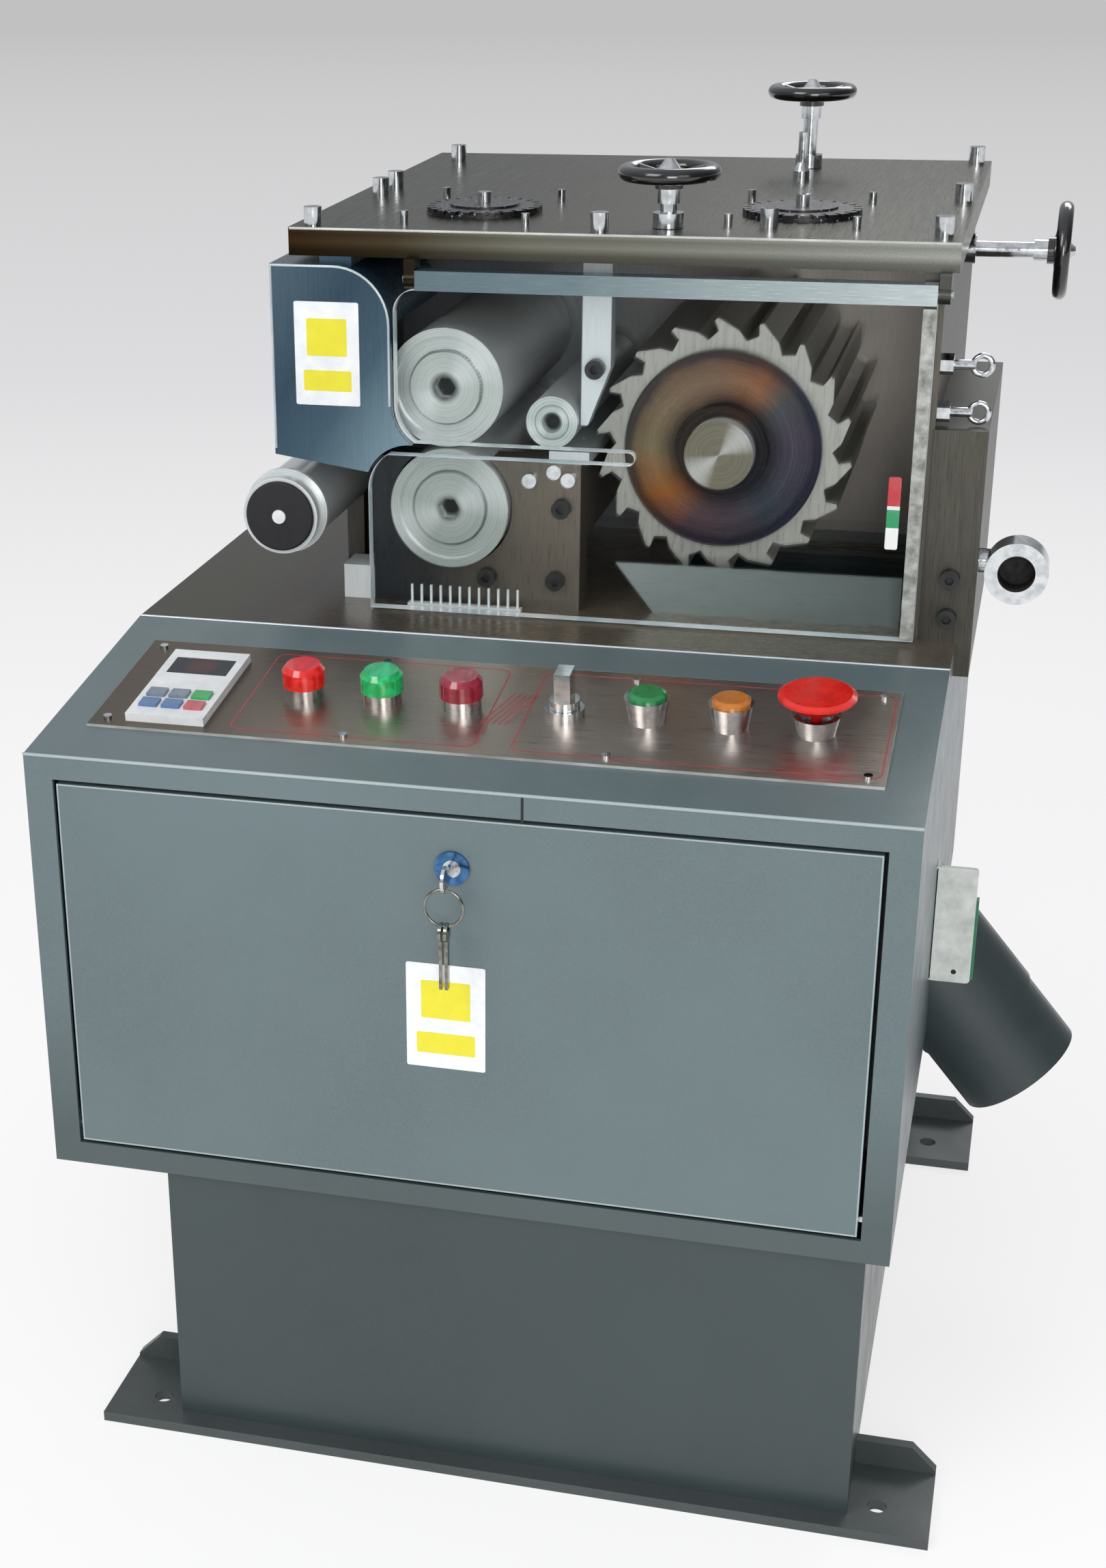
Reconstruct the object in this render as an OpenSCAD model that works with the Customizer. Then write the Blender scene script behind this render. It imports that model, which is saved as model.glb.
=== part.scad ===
/* [Foot and plinth] */
// Distance between anchor bolts from left to right
anchor_x = 540; // [500:1:580]
// Distance between anchor bolts from front to back
anchor_y = 536; // [500:1:560]
// Diameter of each anchor bolt hole
anchor_d = 14; // [10:1:18]
// Length of each foot rail
rail_l = 616; // [604:1:660]
// Width of a foot rail's floor flange
rail_w = 85; // [70:1:95]
// Height of a foot rail's upright flange
rail_h = 28; // [20:1:40]
// Thickness of the foot rail's steel
rail_t = 8; // [6:1:10]
// Distance from a rail's front edge to its bolt holes
rail_hole_in = 30; // [24:1:36]
// Chamfer on the upright flange's top corners
rail_chamfer = 18; // [6:1:19]
// Height of the plinth's top above the floor
plinth_top = 220; // [200:1:260]
// Thickness of the plinth's sheet
plinth_t = 4; // [3:0.5:6]
// Distance from the rail's front edge to the plinth's front
plinth_setback = 16; // [8:1:22]
// Width of the plinth's inner top flange
plinth_lip = 40; // [30:1:60]

/* [Cabinet and desk] */
// Width of the cabinet
cabinet_w = 600; // [590:1:640]
// Depth of the cabinet
cabinet_d = 743; // [720:1:780]
// Height of the cabinet's front face
cabinet_front_h = 316; // [300:1:340]
// Rise of the sloping desk from its front edge to the deck
desk_rise = 29; // [20:1:50]
// Depth of the sloping desk
desk_d = 228; // [210:1:240]
// How far the cabinet stands out past the plinth on the left
cabinet_left_over = 84; // [76:1:86]
// How far the cabinet stands out past the plinth on the right
cabinet_right_over = 16; // [10:1:24]
// How far the cabinet stands out past the plinth at the front
cabinet_front_over = 6; // [2:0.5:10]
// Thickness of the cabinet's sheet
sheet_t = 3; // [2:0.5:4]
// Thickness of the stainless deck
deck_t = 8; // [6:1:12]
// Distance from the door's sides to the cabinet's sides
door_side_gap = 23; // [20:0.5:40]
// Distance from the door's upper edge to the desk's front edge
door_top_gap = 20; // [16:1:30]
// Height of the door's lower edge above the cabinet's floor
door_up = 20; // [16:1:24]
// Gap round the door
door_gap = 3; // [2:0.5:4]
// Depth of the door's folded rim
door_rim = 20; // [16:1:26]
// Diameter of the door's hinge pins
door_pin_d = 6; // [5:0.5:8]
// Diameter of the lock's barrel
lock_d = 19; // [16:0.5:22]
// Distance from the door's top edge to the lock
lock_down = 35; // [26:1:60]

/* [Control plate] */
// Distance from the control plate's ends to the cabinet's sides
plate_side_gap = 28.5; // [20:0.5:40]
// Depth of the control plate along the slope
plate_d = 138; // [125:1:140]
// Thickness of the control plate
plate_t = 2; // [1.5:0.5:3]
// Distance from the desk's front edge to the control plate
plate_up = 47; // [45:1:70]
// Distance between neighbouring control devices
device_pitch = 56.5; // [54:0.5:58]
// Diameter of the holes for the control devices
device_d = 22; // [20:0.5:24]
// Travel of the push buttons
button_travel = 4; // [2:0.5:5]
// Travel of the emergency stop
stop_travel = 5; // [3:0.5:6]
// Diameter of the emergency stop's head
stop_d = 52; // [40:1:54]
// Width of the keypad
keypad_w = 57; // [52:1:60]
// Height of the keypad along the slope
keypad_h = 105; // [100:1:110]
// Height of the keypad above the plate
keypad_t = 6; // [6:0.5:12]
// Travel of each key
key_travel = 0.8; // [0.5:0.1:1.5]

/* [Cutting head] */
// Width of the head's top plate
head_w = 475; // [460:1:480]
// Distance from the desk's rear edge to the head's front
head_front_gap = 60; // [50:1:80]
// Distance from the head's back to the cabinet's back
head_back_gap = 5; // [0:0.5:12]
// Height of the head above the deck
head_h = 280; // [275:1:300]
// Thickness of the top plate
top_t = 20; // [16:1:24]
// Thickness of the head's side plates
side_t = 14; // [10:1:16]
// Thickness of the two bearing plates
bearing_plate_t = 20; // [18:1:24]
// Radius over the cutter's tooth tips
rotor_r = 94; // [90:0.5:96]
// Gap between the cutter's back and its bearing plate
rotor_back_gap = 6; // [4:0.5:30]
// Number of cutter teeth
tooth_count = 18; // [14:1:22]
// Gap between cutter teeth and bed knife
knife_gap = 0.4; // [0.2:0.1:1]
// Diameter of the cutter's shaft
rotor_shaft_d = 35; // [30:1:36]
// Radius of the lower feed roller
lower_r = 45; // [42:0.5:46]
// Radius of the upper feed roller
upper_r = 43.5; // [40:0.5:44]
// Gap between the feed rollers
nip_gap = 1.5; // [1:0.1:3]
// Gap between the feed rollers' backs and their bearing plate
roller_back_gap = 4; // [3:0.5:24]
// Diameter of the feed rollers' shafts
roller_shaft_d = 25; // [20:1:28]
// Radius of the small press roller
press_r = 19; // [16:0.5:20]
// Radius of the guide roller
guide_r = 29; // [26:0.5:31]
// Radial running clearance of shafts in their bearings
run_gap = 0.05; // [0.02:0.01:0.08]
// Thickness of the clear front guard
guard_t = 10; // [8:1:12]
// Height of the strand slot in the guard
slot_h = 10; // [8:1:14]

/* [Handwheels and fittings] */
// Radius of each handwheel over its rim
wheel_r = 36; // [32:0.5:38]
// Radius of a handwheel's round rim
wheel_rim_r = 5.5; // [4:0.5:6]
// Diameter of each spindle
spindle_d = 12; // [10:0.5:14]
// Height of the front handwheel's rim above the top plate
front_wheel_h = 38; // [32:1:60]
// Height of the rear handwheel's rim above the top plate
rear_wheel_h = 60; // [40:1:70]
// Distance of the side handwheel's rim from the head's side plate
side_wheel_h = 74; // [60:1:80]
// Outer diameter of the pellet discharge pipe
pipe_d = 106; // [96:1:110]
// Wall of the pellet discharge pipe
pipe_t = 3; // [2:0.5:4]
// Slope of the discharge pipe below level
pipe_angle = 50; // [48:1:54]
// Outer diameter of the air port's ring
port_d = 44; // [40:1:46]
// Bore of the air port
port_bore_d = 26; // [20:1:28]
// Length of the air port's ring
port_l = 24; // [20:1:28]

/* [Drive] */
// Radius of the cutter's belt pulley
rotor_pulley_r = 48; // [44:1:52]
// Radius of the motor's belt pulley
motor_pulley_r = 36; // [32:1:40]
// Width of the drive belt
belt_w = 30; // [24:1:34]
// Thickness of the drive belt
belt_t = 5; // [4:0.5:7]
// Radius of the cutter motor's body
motor_r = 70; // [60:1:74]
// Length of the cutter motor's body
motor_l = 150; // [130:1:160]
// Height of the motor shaft above the cabinet's floor
motor_up = 92; // [86:1:110]

/* [Hidden] */
$fn = 64;
// Overrun of every cut past the face it goes through
cut = 1;
// Small clearance between pieces that only lie near each other
slack = 0.5;

// Places of the main pieces, from the origin between the anchor bolts
rail_front_y = -anchor_y / 2 - rail_hole_in;
rail_rear_y = anchor_y / 2 - rail_hole_in;
plinth_y0 = rail_front_y + plinth_setback;
plinth_y1 = rail_rear_y + rail_w - rail_t;
plinth_w = cabinet_w - cabinet_left_over - cabinet_right_over;
cab_x0 = -plinth_w / 2 - cabinet_left_over;
cab_x1 = cab_x0 + cabinet_w;
cab_xm = (cab_x0 + cab_x1) / 2;
cab_y0 = plinth_y0 - cabinet_front_over;
cab_y1 = cab_y0 + cabinet_d;
cab_z0 = plinth_top;
desk_z0 = cab_z0 + cabinet_front_h;
deck_z = desk_z0 + desk_rise;
desk_y1 = cab_y0 + desk_d;
deck_under = deck_z - deck_t;
desk_angle = atan(desk_rise / desk_d);

// Door, its hinge axis and its lock
door_x0 = cab_x0 + door_side_gap;
door_x1 = cab_x1 - door_side_gap;
door_z0 = cab_z0 + door_up;
door_z1 = desk_z0 - door_top_gap;
door_t = sheet_t;
hinge_in = 9;
hinge_y = cab_y0 + hinge_in;
hinge_z = door_z0 + hinge_in;
lock_z = door_z1 - lock_down;
lug_d = 22;
pin_head_t = 3;
pin_head_d = 10;
lock_flange_d = 24;
lock_flange_t = 2;
lock_l = 26;
plug_d = 12;
cam_t = 3;
cam_l = 48;
cam_w = 12;
key_w = 18;
key_l = 24;
key_t = 2.2;
key_hole_d = 5;
ring_r = 13;
ring_wire_r = 1;
hang_gap = 0.45;
spare_l = 44;
spare_w = 13;

// Control devices, in the desk's own slope
plate_w = cabinet_w - 2 * plate_side_gap;
plate_x0 = cab_x0 + plate_side_gap;
plate_screw_in = 6;
device_y = plate_up + plate_d * 0.49;
device_x0 = plate_x0 + plate_w * 0.2532;
knob_x0 = plate_x0 + plate_w * 0.594;
lens_r = 15;
lens_h = 15;
lens_collar_h = 9;
collar_r = 15.5;
collar_foot_share = 0.8;
collar_h = 18;
well_h = 7;
body_l = 40;
stem_r = 3.5;
cap_r = 13.2;
cap_rise = 4;
cap_dome = 1.8;
knob_r = 10.5;
knob_base_h = 6;
knob_h = 27;
knob_grip = 11;
stop_collar_r = 16;
stop_collar_h = 14;
stop_well_r = stop_collar_r * collar_foot_share - slack * 2;
stop_cone_h = 7.5;
stop_top_h = 3.5;
fit = 0.2;
keypad_x0 = plate_x0 + plate_w * 0.047;
keypad_y0 = plate_up + plate_d * 0.06;
keypad_base_t = 5;
keypad_edge = 4;
key_size_x = 13;
key_size_y = 11;
key_pitch_x = 16.5;
key_pitch_y = 16;
key_up = 2;
display_h = 26;

// Cutting head: its side margins on the deck keep their proportion
head_left_share = 0.864;
head_x0 = cab_x0 + (cabinet_w - head_w) * head_left_share;
head_x1 = head_x0 + head_w;
head_y0 = desk_y1 + head_front_gap;
head_y1 = cab_y1 - head_back_gap;
head_d = head_y1 - head_y0;
head_z1 = deck_z + head_h;
top_under = head_z1 - top_t;
top_over = 9;
right_wall_x = head_x1 - top_over;
left_wall_front = 132;
side_y0 = head_y0 + left_wall_front;
feed_box = 70;
feed_box_h = 96;
feed_box_gap = 10;
plate_gap_share = 0.1956;
plate_gap = plate_gap_share * head_d;
rear_plate_y = head_y1 - feed_box - feed_box_gap - bearing_plate_t;
front_plate_y = rear_plate_y - plate_gap;

// Strand path: the rollers and the cutter stand in one row, set to the middle between the walls
feed_gap = 59.5;
train_shift = 1.75;
train_w = 2 * lower_r + feed_gap + 2 * rotor_r;
lower_x = head_x0 + (head_w - train_w) / 2 + train_shift + lower_r;
rotor_x = lower_x + lower_r + feed_gap + rotor_r;
strand_drop = 9;
strand_z = deck_z + (head_h - top_t) / 2 - strand_drop;
lower_z = strand_z - lower_r;
upper_shift = 2.5;
upper_x = lower_x - upper_shift;
upper_z = strand_z + nip_gap + upper_r;
roller_in = 12;
roller_y0 = head_y0 + roller_in;
roller_l = front_plate_y - roller_back_gap - roller_y0;
rotor_lift = 2;
rotor_z = strand_z + rotor_lift;
rotor_in = 46;
rotor_y0 = head_y0 + rotor_in;
rotor_l = front_plate_y - rotor_back_gap - rotor_y0;
press_gap = 8;
press_lift = 4;
press_x = rotor_x - rotor_r - press_gap - press_r;
press_z = strand_z + press_lift + press_r;
guide_out = 122.5;
guide_drop = 4;
guide_flange = 3;
guide_front = 20;
guide_x = lower_x - guide_out;
guide_z = lower_z - guide_drop;
guide_y0 = head_y0 - guide_front;
bearing_w = 16;
rotor_bearing_r = 36;
roller_bearing_r = 26;
small_shaft_d = 15;
small_bearing_r = 16;
tooth_root_share = 0.84;
tooth_lean_share = 0.42;
disc_r = 72;
disc_t = 6;
hub_r = 33;
hub_l = 6;
stub_r = 25;
stub_l = 12;
roller_hub_r = 27;
roller_hub_l = 4;
roller_face_in = 3;
knife_w = 30;
knife_t = 9;
knife_x1 = rotor_x - rotor_r - knife_gap;
block_left = 61.5;
block_in = 20;
block_t = 30;
block_step = 6;
block_x0 = lower_x - block_left;
block_x1 = knife_x1 - block_step;
block_y0 = head_y0 + block_in;
beam_gap = 4;
beam_x0 = lower_x + lower_r + beam_gap;
beam_h = 60;
pin_d = 2;
pin_h = 14;
pin_count = 12;
comb_left = 31.5;
comb_right = 56.5;
comb_in = 9;
comb_x0 = lower_x - comb_left;
comb_x1 = lower_x + comb_right;
comb_t = 6;
comb_h = 3;
comb_y = head_y0 + comb_in;
spacer_w = 24;
spacer_h = 26;
bracket_gap = 7;
bracket_w = 21;
bracket_t = 16;
bracket_tip_up = 20;
bracket_knee_up = 62;
bracket_tip_w = 5;
bracket_x0 = rotor_x - rotor_r - bracket_gap;
bracket_tip_z = strand_z + bracket_tip_up;
bracket_knee_z = strand_z + bracket_knee_up;
hopper_t = 2;
hopper_reach = 75;
hopper_h = 37;
hopper_slant = 29;
hopper_in = 30;
hopper_back = 4;
hopper_x0 = rotor_x - hopper_reach;
hopper_x1 = right_wall_x - side_t - hopper_t;
hopper_y0 = head_y0 + hopper_in;
hopper_y1 = front_plate_y - hopper_back;

// Front guard, hinged along its top edge
guard_left = 35.5;
guard_low_left = 56.5;
guard_right_in = 4;
guard_up = 2;
guard_front = 3;
guard_hinge_down = 14;
guard_x0 = lower_x - guard_left;
guard_x1 = right_wall_x - guard_right_in;
guard_low_x0 = lower_x - guard_low_left;
guard_z0 = deck_z + guard_up;
guard_hinge_y = head_y0 - guard_front;
guard_hinge_z = top_under - guard_hinge_down;
rail_bar = 14;
rail_pin_d = 6;
rail_pin_l = 10;
guard_lug_w = 8;
guard_lug_r = 6.5;
guard_corner = 16;
guard_round = 32;
guard_gap = 3;
slot_end_in = 56;
slot_up = 3;
slot_end_x = rotor_x - slot_end_in;
slot_z0 = strand_z + slot_up;

// Infeed guard on the left of the feed rollers
feed_w = 90;
feed_down = 5;
feed_t = 6;
feed_round = 42;
feed_tab_w = 24;
hood_t = 3;
feed_x1 = guard_x0 - guard_gap;
feed_x0 = feed_x1 - feed_w;
feed_z0 = strand_z - feed_down;
feed_z1 = top_under - feed_down;
feed_y0 = guard_hinge_y - guard_t / 2;

// Right-hand fittings: eye bolts, side cover, air port and discharge pipe
eye_ring_r = 6.5;
eye_wire_r = 2;
eye_shank_d = 7;
eye_nut_d = 15;
eye_nut_t = 9;
eye_behind = 20;
eye_down = 65;
eye_pitch = 33;
eye_out = 14;
eye_in = 9;
eye_y = head_y0 + eye_behind;
eye_upper_z = top_under - eye_down;
eye_lower_z = eye_upper_z - eye_pitch;
cover_out = 11;
cover_front = 4;
cover_back = 12;
cover_t = 4;
cover_x1 = cab_x1 + cover_out;
cover_y0 = head_y0 + cover_front;
cover_y1 = front_plate_y - cover_back;
cover_h = eye_lower_z - eye_ring_r - eye_wire_r - 2 * slack - deck_z;
port_out = 38;
port_up = 56;
port_x = cab_x1 + port_out;
port_z = deck_z + port_up;
port_y0 = guard_hinge_y - guard_t / 2;
port_stub_d = 16;
port_stub_y = port_y0 + port_l / 2 + cover_t * 5;
pipe_front_shift = 12;
pipe_out = 75;
pipe_drop = 55;
pipe_top_gap = 25.5;
spigot_l = 60;
spigot_in = 1.5;
box_gap = 3;
pipe_y = (hopper_y0 + hopper_y1) / 2 - pipe_front_shift;
pipe_end_x = cab_x1 + pipe_out;
pipe_end_z = cab_z0 - pipe_drop;
pipe_len = (deck_under - sheet_t - pipe_top_gap - pipe_end_z - pipe_d / 2 * cos(pipe_angle))
    / sin(pipe_angle);
pipe_top_x = pipe_end_x - pipe_len * cos(pipe_angle) - pipe_d / 2 * sin(pipe_angle);
pipe_top_z = pipe_end_z + pipe_len * sin(pipe_angle) - pipe_d / 2 * cos(pipe_angle);
box_x0 = min(pipe_top_x, hopper_x0 + hopper_slant) - hopper_t - box_gap;
box_x1 = cab_x1 - sheet_t - slack;
box_y0 = min(pipe_y - pipe_d / 2, hopper_y0) - hopper_t;
box_y1 = max(pipe_y + pipe_d / 2, hopper_y1) + hopper_t;
box_z0 = pipe_top_z - hopper_t - box_gap;

// Fittings on the top plate, as shares of its width and depth
cap_disc_r = 43;
cap_disc_t = 6;
cap_rib_count = 24;
cap_rib_w = 3;
cap_rib_t = 2;
cap_shares = [[0.257, 0.222], [0.747, 0.264]];
cap_screw_x = 45;
cap_screw_y = 64;
stud_d = 10;
stud_h = 8;
front_wheel_shares = [0.568, 0.084];
rear_wheel_shares = [0.694, 0.862];
side_wheel_share = 0.489;
side_wheel_down = 17;
front_wheel = [head_x0 + front_wheel_shares[0] * head_w, head_y0 + front_wheel_shares[1] * head_d];
rear_wheel = [head_x0 + rear_wheel_shares[0] * head_w, head_y0 + rear_wheel_shares[1] * head_d];
side_wheel = [head_y0 + side_wheel_share * head_d, top_under - side_wheel_down];
cap_centres = [for (c = cap_shares) [head_x0 + c[0] * head_w, head_y0 + c[1] * head_d]];
hub_d = 20;
hub_low = 2 * wheel_rim_r;
hub_high = wheel_rim_r * 0.4;
spoke_slope = 9;
spindle_in = 16;
collar_d = 22;
collar_l = 10;

// Drive pieces
belt_gap = 0.3;
pulley_gap = 14;
pulley_y0 = rear_plate_y + bearing_plate_t + pulley_gap;
motor_x = rotor_x;
motor_z = cab_z0 + sheet_t + motor_up;
motor_y1 = pulley_y0 - pulley_gap;
feed_motor_r = 38;
feed_motor_l = 150;
panel_in_y = 150;
panel_y = cab_y0 + panel_in_y;

module span(a, b) { translate(a) cube(b - a); }
module x_rod(r, x0, x1, y, z) { translate([x0, y, z]) rotate([0, 90, 0]) cylinder(h = x1 - x0, r = r); }
module y_rod(r, y0, y1, x, z) { translate([x, y0, z]) rotate([-90, 0, 0]) cylinder(h = y1 - y0, r = r); }
module z_rod(r, z0, z1, x, y) { translate([x, y, z0]) cylinder(h = z1 - z0, r = r); }
module on_desk() { translate([0, cab_y0, desk_z0]) rotate([desk_angle, 0, 0]) children(); }
module yz_sheet(points, x0, x1) {
    translate([x0, 0, 0]) rotate([90, 0, 90]) linear_extrude(x1 - x0) polygon(points);
}
module xz_sheet(y0, y1) { translate([0, y1, 0]) rotate([90, 0, 0]) linear_extrude(y1 - y0) children(); }
module pipe_part(r, from, to) {
    translate([pipe_end_x, pipe_y, pipe_end_z]) rotate([0, -(90 - pipe_angle), 0])
        translate([0, 0, from]) cylinder(h = to - from, r = r);
}
module pipe_core(r) { pipe_part(r, -cut, pipe_len + cut); }

// Plinth: folded box with a top lip, open to the floor and to the cabinet
module plinth() {
    color("#3d4a4f") difference() {
        span([-plinth_w / 2, plinth_y0, rail_t], [plinth_w / 2, plinth_y1, plinth_top]);
        span([-plinth_w / 2 + plinth_t, plinth_y0 + plinth_t, rail_t - cut],
            [plinth_w / 2 - plinth_t, plinth_y1 - plinth_t, plinth_top - plinth_t]);
        span([-plinth_w / 2 + plinth_lip, plinth_y0 + plinth_lip, plinth_top - plinth_t - cut],
            [plinth_w / 2 - plinth_lip, plinth_y1 - plinth_lip, plinth_top + cut]);
        span([-plinth_w / 2 - cut, rail_front_y + rail_w - rail_t - slack, rail_t - cut],
            [plinth_w / 2 + cut, rail_front_y + rail_w + slack, rail_h + slack]);
        pipe_core(pipe_d / 2 + slack);
    }
}

// One foot rail: floor flange with two bolt holes, upright flange with cut corners
module foot_rail(y0) {
    difference() {
        union() {
            span([-rail_l / 2, y0, 0], [rail_l / 2, y0 + rail_w, rail_t]);
            xz_sheet(y0 + rail_w - rail_t, y0 + rail_w) polygon([[-rail_l / 2, 0], [rail_l / 2, 0],
                [rail_l / 2, rail_h - rail_chamfer], [rail_l / 2 - rail_chamfer, rail_h],
                [-rail_l / 2 + rail_chamfer, rail_h], [-rail_l / 2, rail_h - rail_chamfer]]);
        }
        for (side = [-1, 1])
            z_rod(anchor_d / 2, -cut, rail_t + cut, side * anchor_x / 2, y0 + rail_hole_in);
    }
}
module foot_rails() { color("#35393b") for (y = [rail_front_y, rail_rear_y]) foot_rail(y); }

// Cabinet: one folded shell with a door opening, a sloping desk and a flat rear deck bed
vent_count = 6;
vent_w = 60;
vent_h = 5;
vent_pitch = 14;
module cabinet_body() {
    fall = sheet_t / cos(desk_angle);
    rise = sheet_t * tan(desk_angle);
    difference() {
        yz_sheet([[cab_y0, cab_z0], [cab_y0, desk_z0], [desk_y1, deck_z], [desk_y1, deck_under],
            [cab_y1, deck_under], [cab_y1, cab_z0]], cab_x0, cab_x1);
        yz_sheet([[cab_y0 + sheet_t, cab_z0 + sheet_t], [cab_y0 + sheet_t, desk_z0 + rise - fall],
            [desk_y1 - sheet_t, deck_z - rise - fall], [desk_y1 - sheet_t, deck_under - sheet_t],
            [cab_y1 - sheet_t, deck_under - sheet_t], [cab_y1 - sheet_t, cab_z0 + sheet_t]],
            cab_x0 + sheet_t, cab_x1 - sheet_t);
    }
}
module deck_openings(z0, z1) {
    span([rotor_x - rotor_pulley_r - deck_t, pulley_y0 - deck_t, z0],
        [rotor_x + rotor_pulley_r + deck_t, pulley_y0 + belt_w + deck_t, z1]);
    span([lower_x - feed_box / 2 - slack, rear_plate_y + bearing_plate_t - slack, z0],
        [lower_x + feed_box / 2 + slack, rear_plate_y + bearing_plate_t + feed_box + slack, z1]);
}
module hopper_hole(z0, z1, grow) {
    span([hopper_x0 + hopper_slant + hopper_t - grow, hopper_y0 + hopper_t - grow, z0],
        [hopper_x1 - hopper_t + grow, hopper_y1 - hopper_t + grow, z1]);
}
module control_cabinet() {
    color("#6f7c80") difference() {
        union() {
            cabinet_body();
            for (side = [-1, 1]) {
                x = side < 0 ? door_x0 - door_gap - sheet_t : door_x1 + door_gap;
                x_rod(lug_d / 2, x, x + sheet_t, hinge_y + lug_d / 2 - hinge_in + sheet_t / 2, hinge_z);
                span([x, cab_y0 + sheet_t / 2, cab_z0 + sheet_t / 2],
                    [x + sheet_t, hinge_y + lug_d - hinge_in, hinge_z]);
            }
        }
        span([door_x0 - door_gap, cab_y0 - cut, door_z0 - door_gap],
            [door_x1 + door_gap, cab_y0 + sheet_t + cut, door_z1 + door_gap]);
        x_rod(door_pin_d / 2, door_x0 - door_gap - sheet_t - cut, door_x1 + door_gap + sheet_t + cut,
            hinge_y, hinge_z);
        on_desk() span([plate_x0 + plate_t + sheet_t * 4, plate_up + sheet_t * 4, -body_l],
            [plate_x0 + plate_w - sheet_t * 4, plate_up + plate_d - sheet_t * 4, sheet_t]);
        span([-plinth_w / 2 + plinth_lip, plinth_y0 + plinth_lip, cab_z0 - cut],
            [plinth_w / 2 - plinth_lip, plinth_y1 - plinth_lip, cab_z0 + sheet_t + cut]);
        deck_openings(deck_under - sheet_t - cut, deck_under + cut);
        hopper_hole(deck_under - sheet_t - cut, deck_under + cut, 0);
        pipe_core(pipe_d / 2 + slack);
        for (i = [0:vent_count - 1]) for (x = [cab_xm - cabinet_w / 4, cab_xm + cabinet_w / 4])
            span([x - vent_w / 2, cab_y1 - sheet_t - cut, cab_z0 + cabinet_front_h / 2 + i * vent_pitch],
                [x + vent_w / 2, cab_y1 + cut, cab_z0 + cabinet_front_h / 2 + i * vent_pitch + vent_h]);
    }
}

// Stainless deck under the cutting head
module table_top() {
    color("#8b8f8c") difference() {
        span([cab_x0, desk_y1, deck_under], [cab_x1, cab_y1, deck_z]);
        deck_openings(deck_under - cut, deck_z + cut);
        hopper_hole(deck_under - cut, deck_z + cut, 0);
    }
}

// Stainless control plate on the sloping desk, with a hole for each device
devices_x = [for (i = [0:2]) device_x0 + i * device_pitch, for (i = [0:3]) knob_x0 + i * device_pitch];
module control_plate() {
    color("#a9aca6") on_desk() difference() {
        span([plate_x0, plate_up, 0], [plate_x0 + plate_w, plate_up + plate_d, plate_t]);
        for (x = devices_x) z_rod(device_d / 2, -cut, plate_t + cut, x, device_y);
    }
}

// Keypad: white frame with a sunk display and six key wells
keypad_xm = keypad_x0 + keypad_w / 2;
keypad_z0 = plate_t;
keypad_top = plate_t + keypad_t;
function key_x(i) = keypad_xm + (i % 3 - 1) * key_pitch_x;
function key_y(i) = keypad_y0 + keypad_edge * 3 + key_size_y / 2 + floor(i / 3) * key_pitch_y;
module keypad_housing() {
    color("#dfe3e4") on_desk() difference() {
        span([keypad_x0, keypad_y0, keypad_z0], [keypad_x0 + keypad_w, keypad_y0 + keypad_h, keypad_top]);
        span([keypad_x0 + keypad_edge * 1.5, keypad_y0 + keypad_h - keypad_edge * 3 - display_h,
            keypad_top - key_travel], [keypad_x0 + keypad_w - keypad_edge * 1.5,
            keypad_y0 + keypad_h - keypad_edge * 3, keypad_top + cut]);
        for (i = [0:5]) translate([key_x(i), key_y(i), keypad_z0 + keypad_base_t])
            translate([-key_size_x / 2 - fit, -key_size_y / 2 - fit, 0])
            cube([key_size_x + 2 * fit, key_size_y + 2 * fit, keypad_t]);
    }
}
module keypad_key(i, tint) {
    color(tint) on_desk() span([key_x(i) - key_size_x / 2, key_y(i) - key_size_y / 2,
        keypad_z0 + keypad_base_t + key_travel + fit / 2],
        [key_x(i) + key_size_x / 2, key_y(i) + key_size_y / 2, keypad_top + key_up]);
}
module keypad_key_1() { keypad_key(0, "#6f86a0"); }
module keypad_key_2() { keypad_key(1, "#5577a8"); }
module keypad_key_3() { keypad_key(2, "#b5443f"); }
module keypad_key_4() { keypad_key(3, "#8b9bab"); }
module keypad_key_5() { keypad_key(4, "#5577a8"); }
module keypad_key_6() { keypad_key(5, "#3f9a5d"); }

// Device bodies under the plate with chrome collars above it, each with a bore for a stem
module device(x, foot_r, r, top, well_r, well) {
    difference() {
        union() {
            z_rod(device_d / 2 - fit, -body_l, plate_t, x, device_y);
            translate([x, device_y, plate_t]) cylinder(h = top, r1 = foot_r, r2 = r);
        }
        z_rod(well_r, plate_t + top - well, plate_t + top + cut, x, device_y);
        z_rod(stem_r + fit, -body_l / 2, plate_t + top, x, device_y);
    }
}
module control_collars() {
    color("#c9cdd0") on_desk() {
        for (i = [0:2]) device(devices_x[i], collar_r - plate_t, collar_r - plate_t, lens_collar_h,
            stem_r * 2, lens_collar_h / 2);
        device(devices_x[3], collar_r - plate_t, collar_r - plate_t, knob_base_h, stem_r * 2,
            knob_base_h / 2);
        for (i = [4, 5]) device(devices_x[i], collar_r * collar_foot_share, collar_r, collar_h,
            cap_r + fit, well_h);
        device(devices_x[6], stop_collar_r * collar_foot_share, stop_collar_r, stop_collar_h,
            stop_well_r, well_h);
    }
}
module stem(x, z1, depth) { z_rod(stem_r, -depth, z1, x, device_y); }
module indicator_lenses() {
    z0 = plate_t + lens_collar_h;
    color("#c02a24") on_desk() for (i = [0:2]) {
        z_rod(lens_r, z0, z0 + lens_h * 0.75, devices_x[i], device_y);
        translate([devices_x[i], device_y, z0 + lens_h * 0.75])
            cylinder(h = lens_h * 0.25, r1 = lens_r, r2 = lens_r * 0.8);
        stem(devices_x[i], z0, body_l / 3);
    }
}
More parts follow.
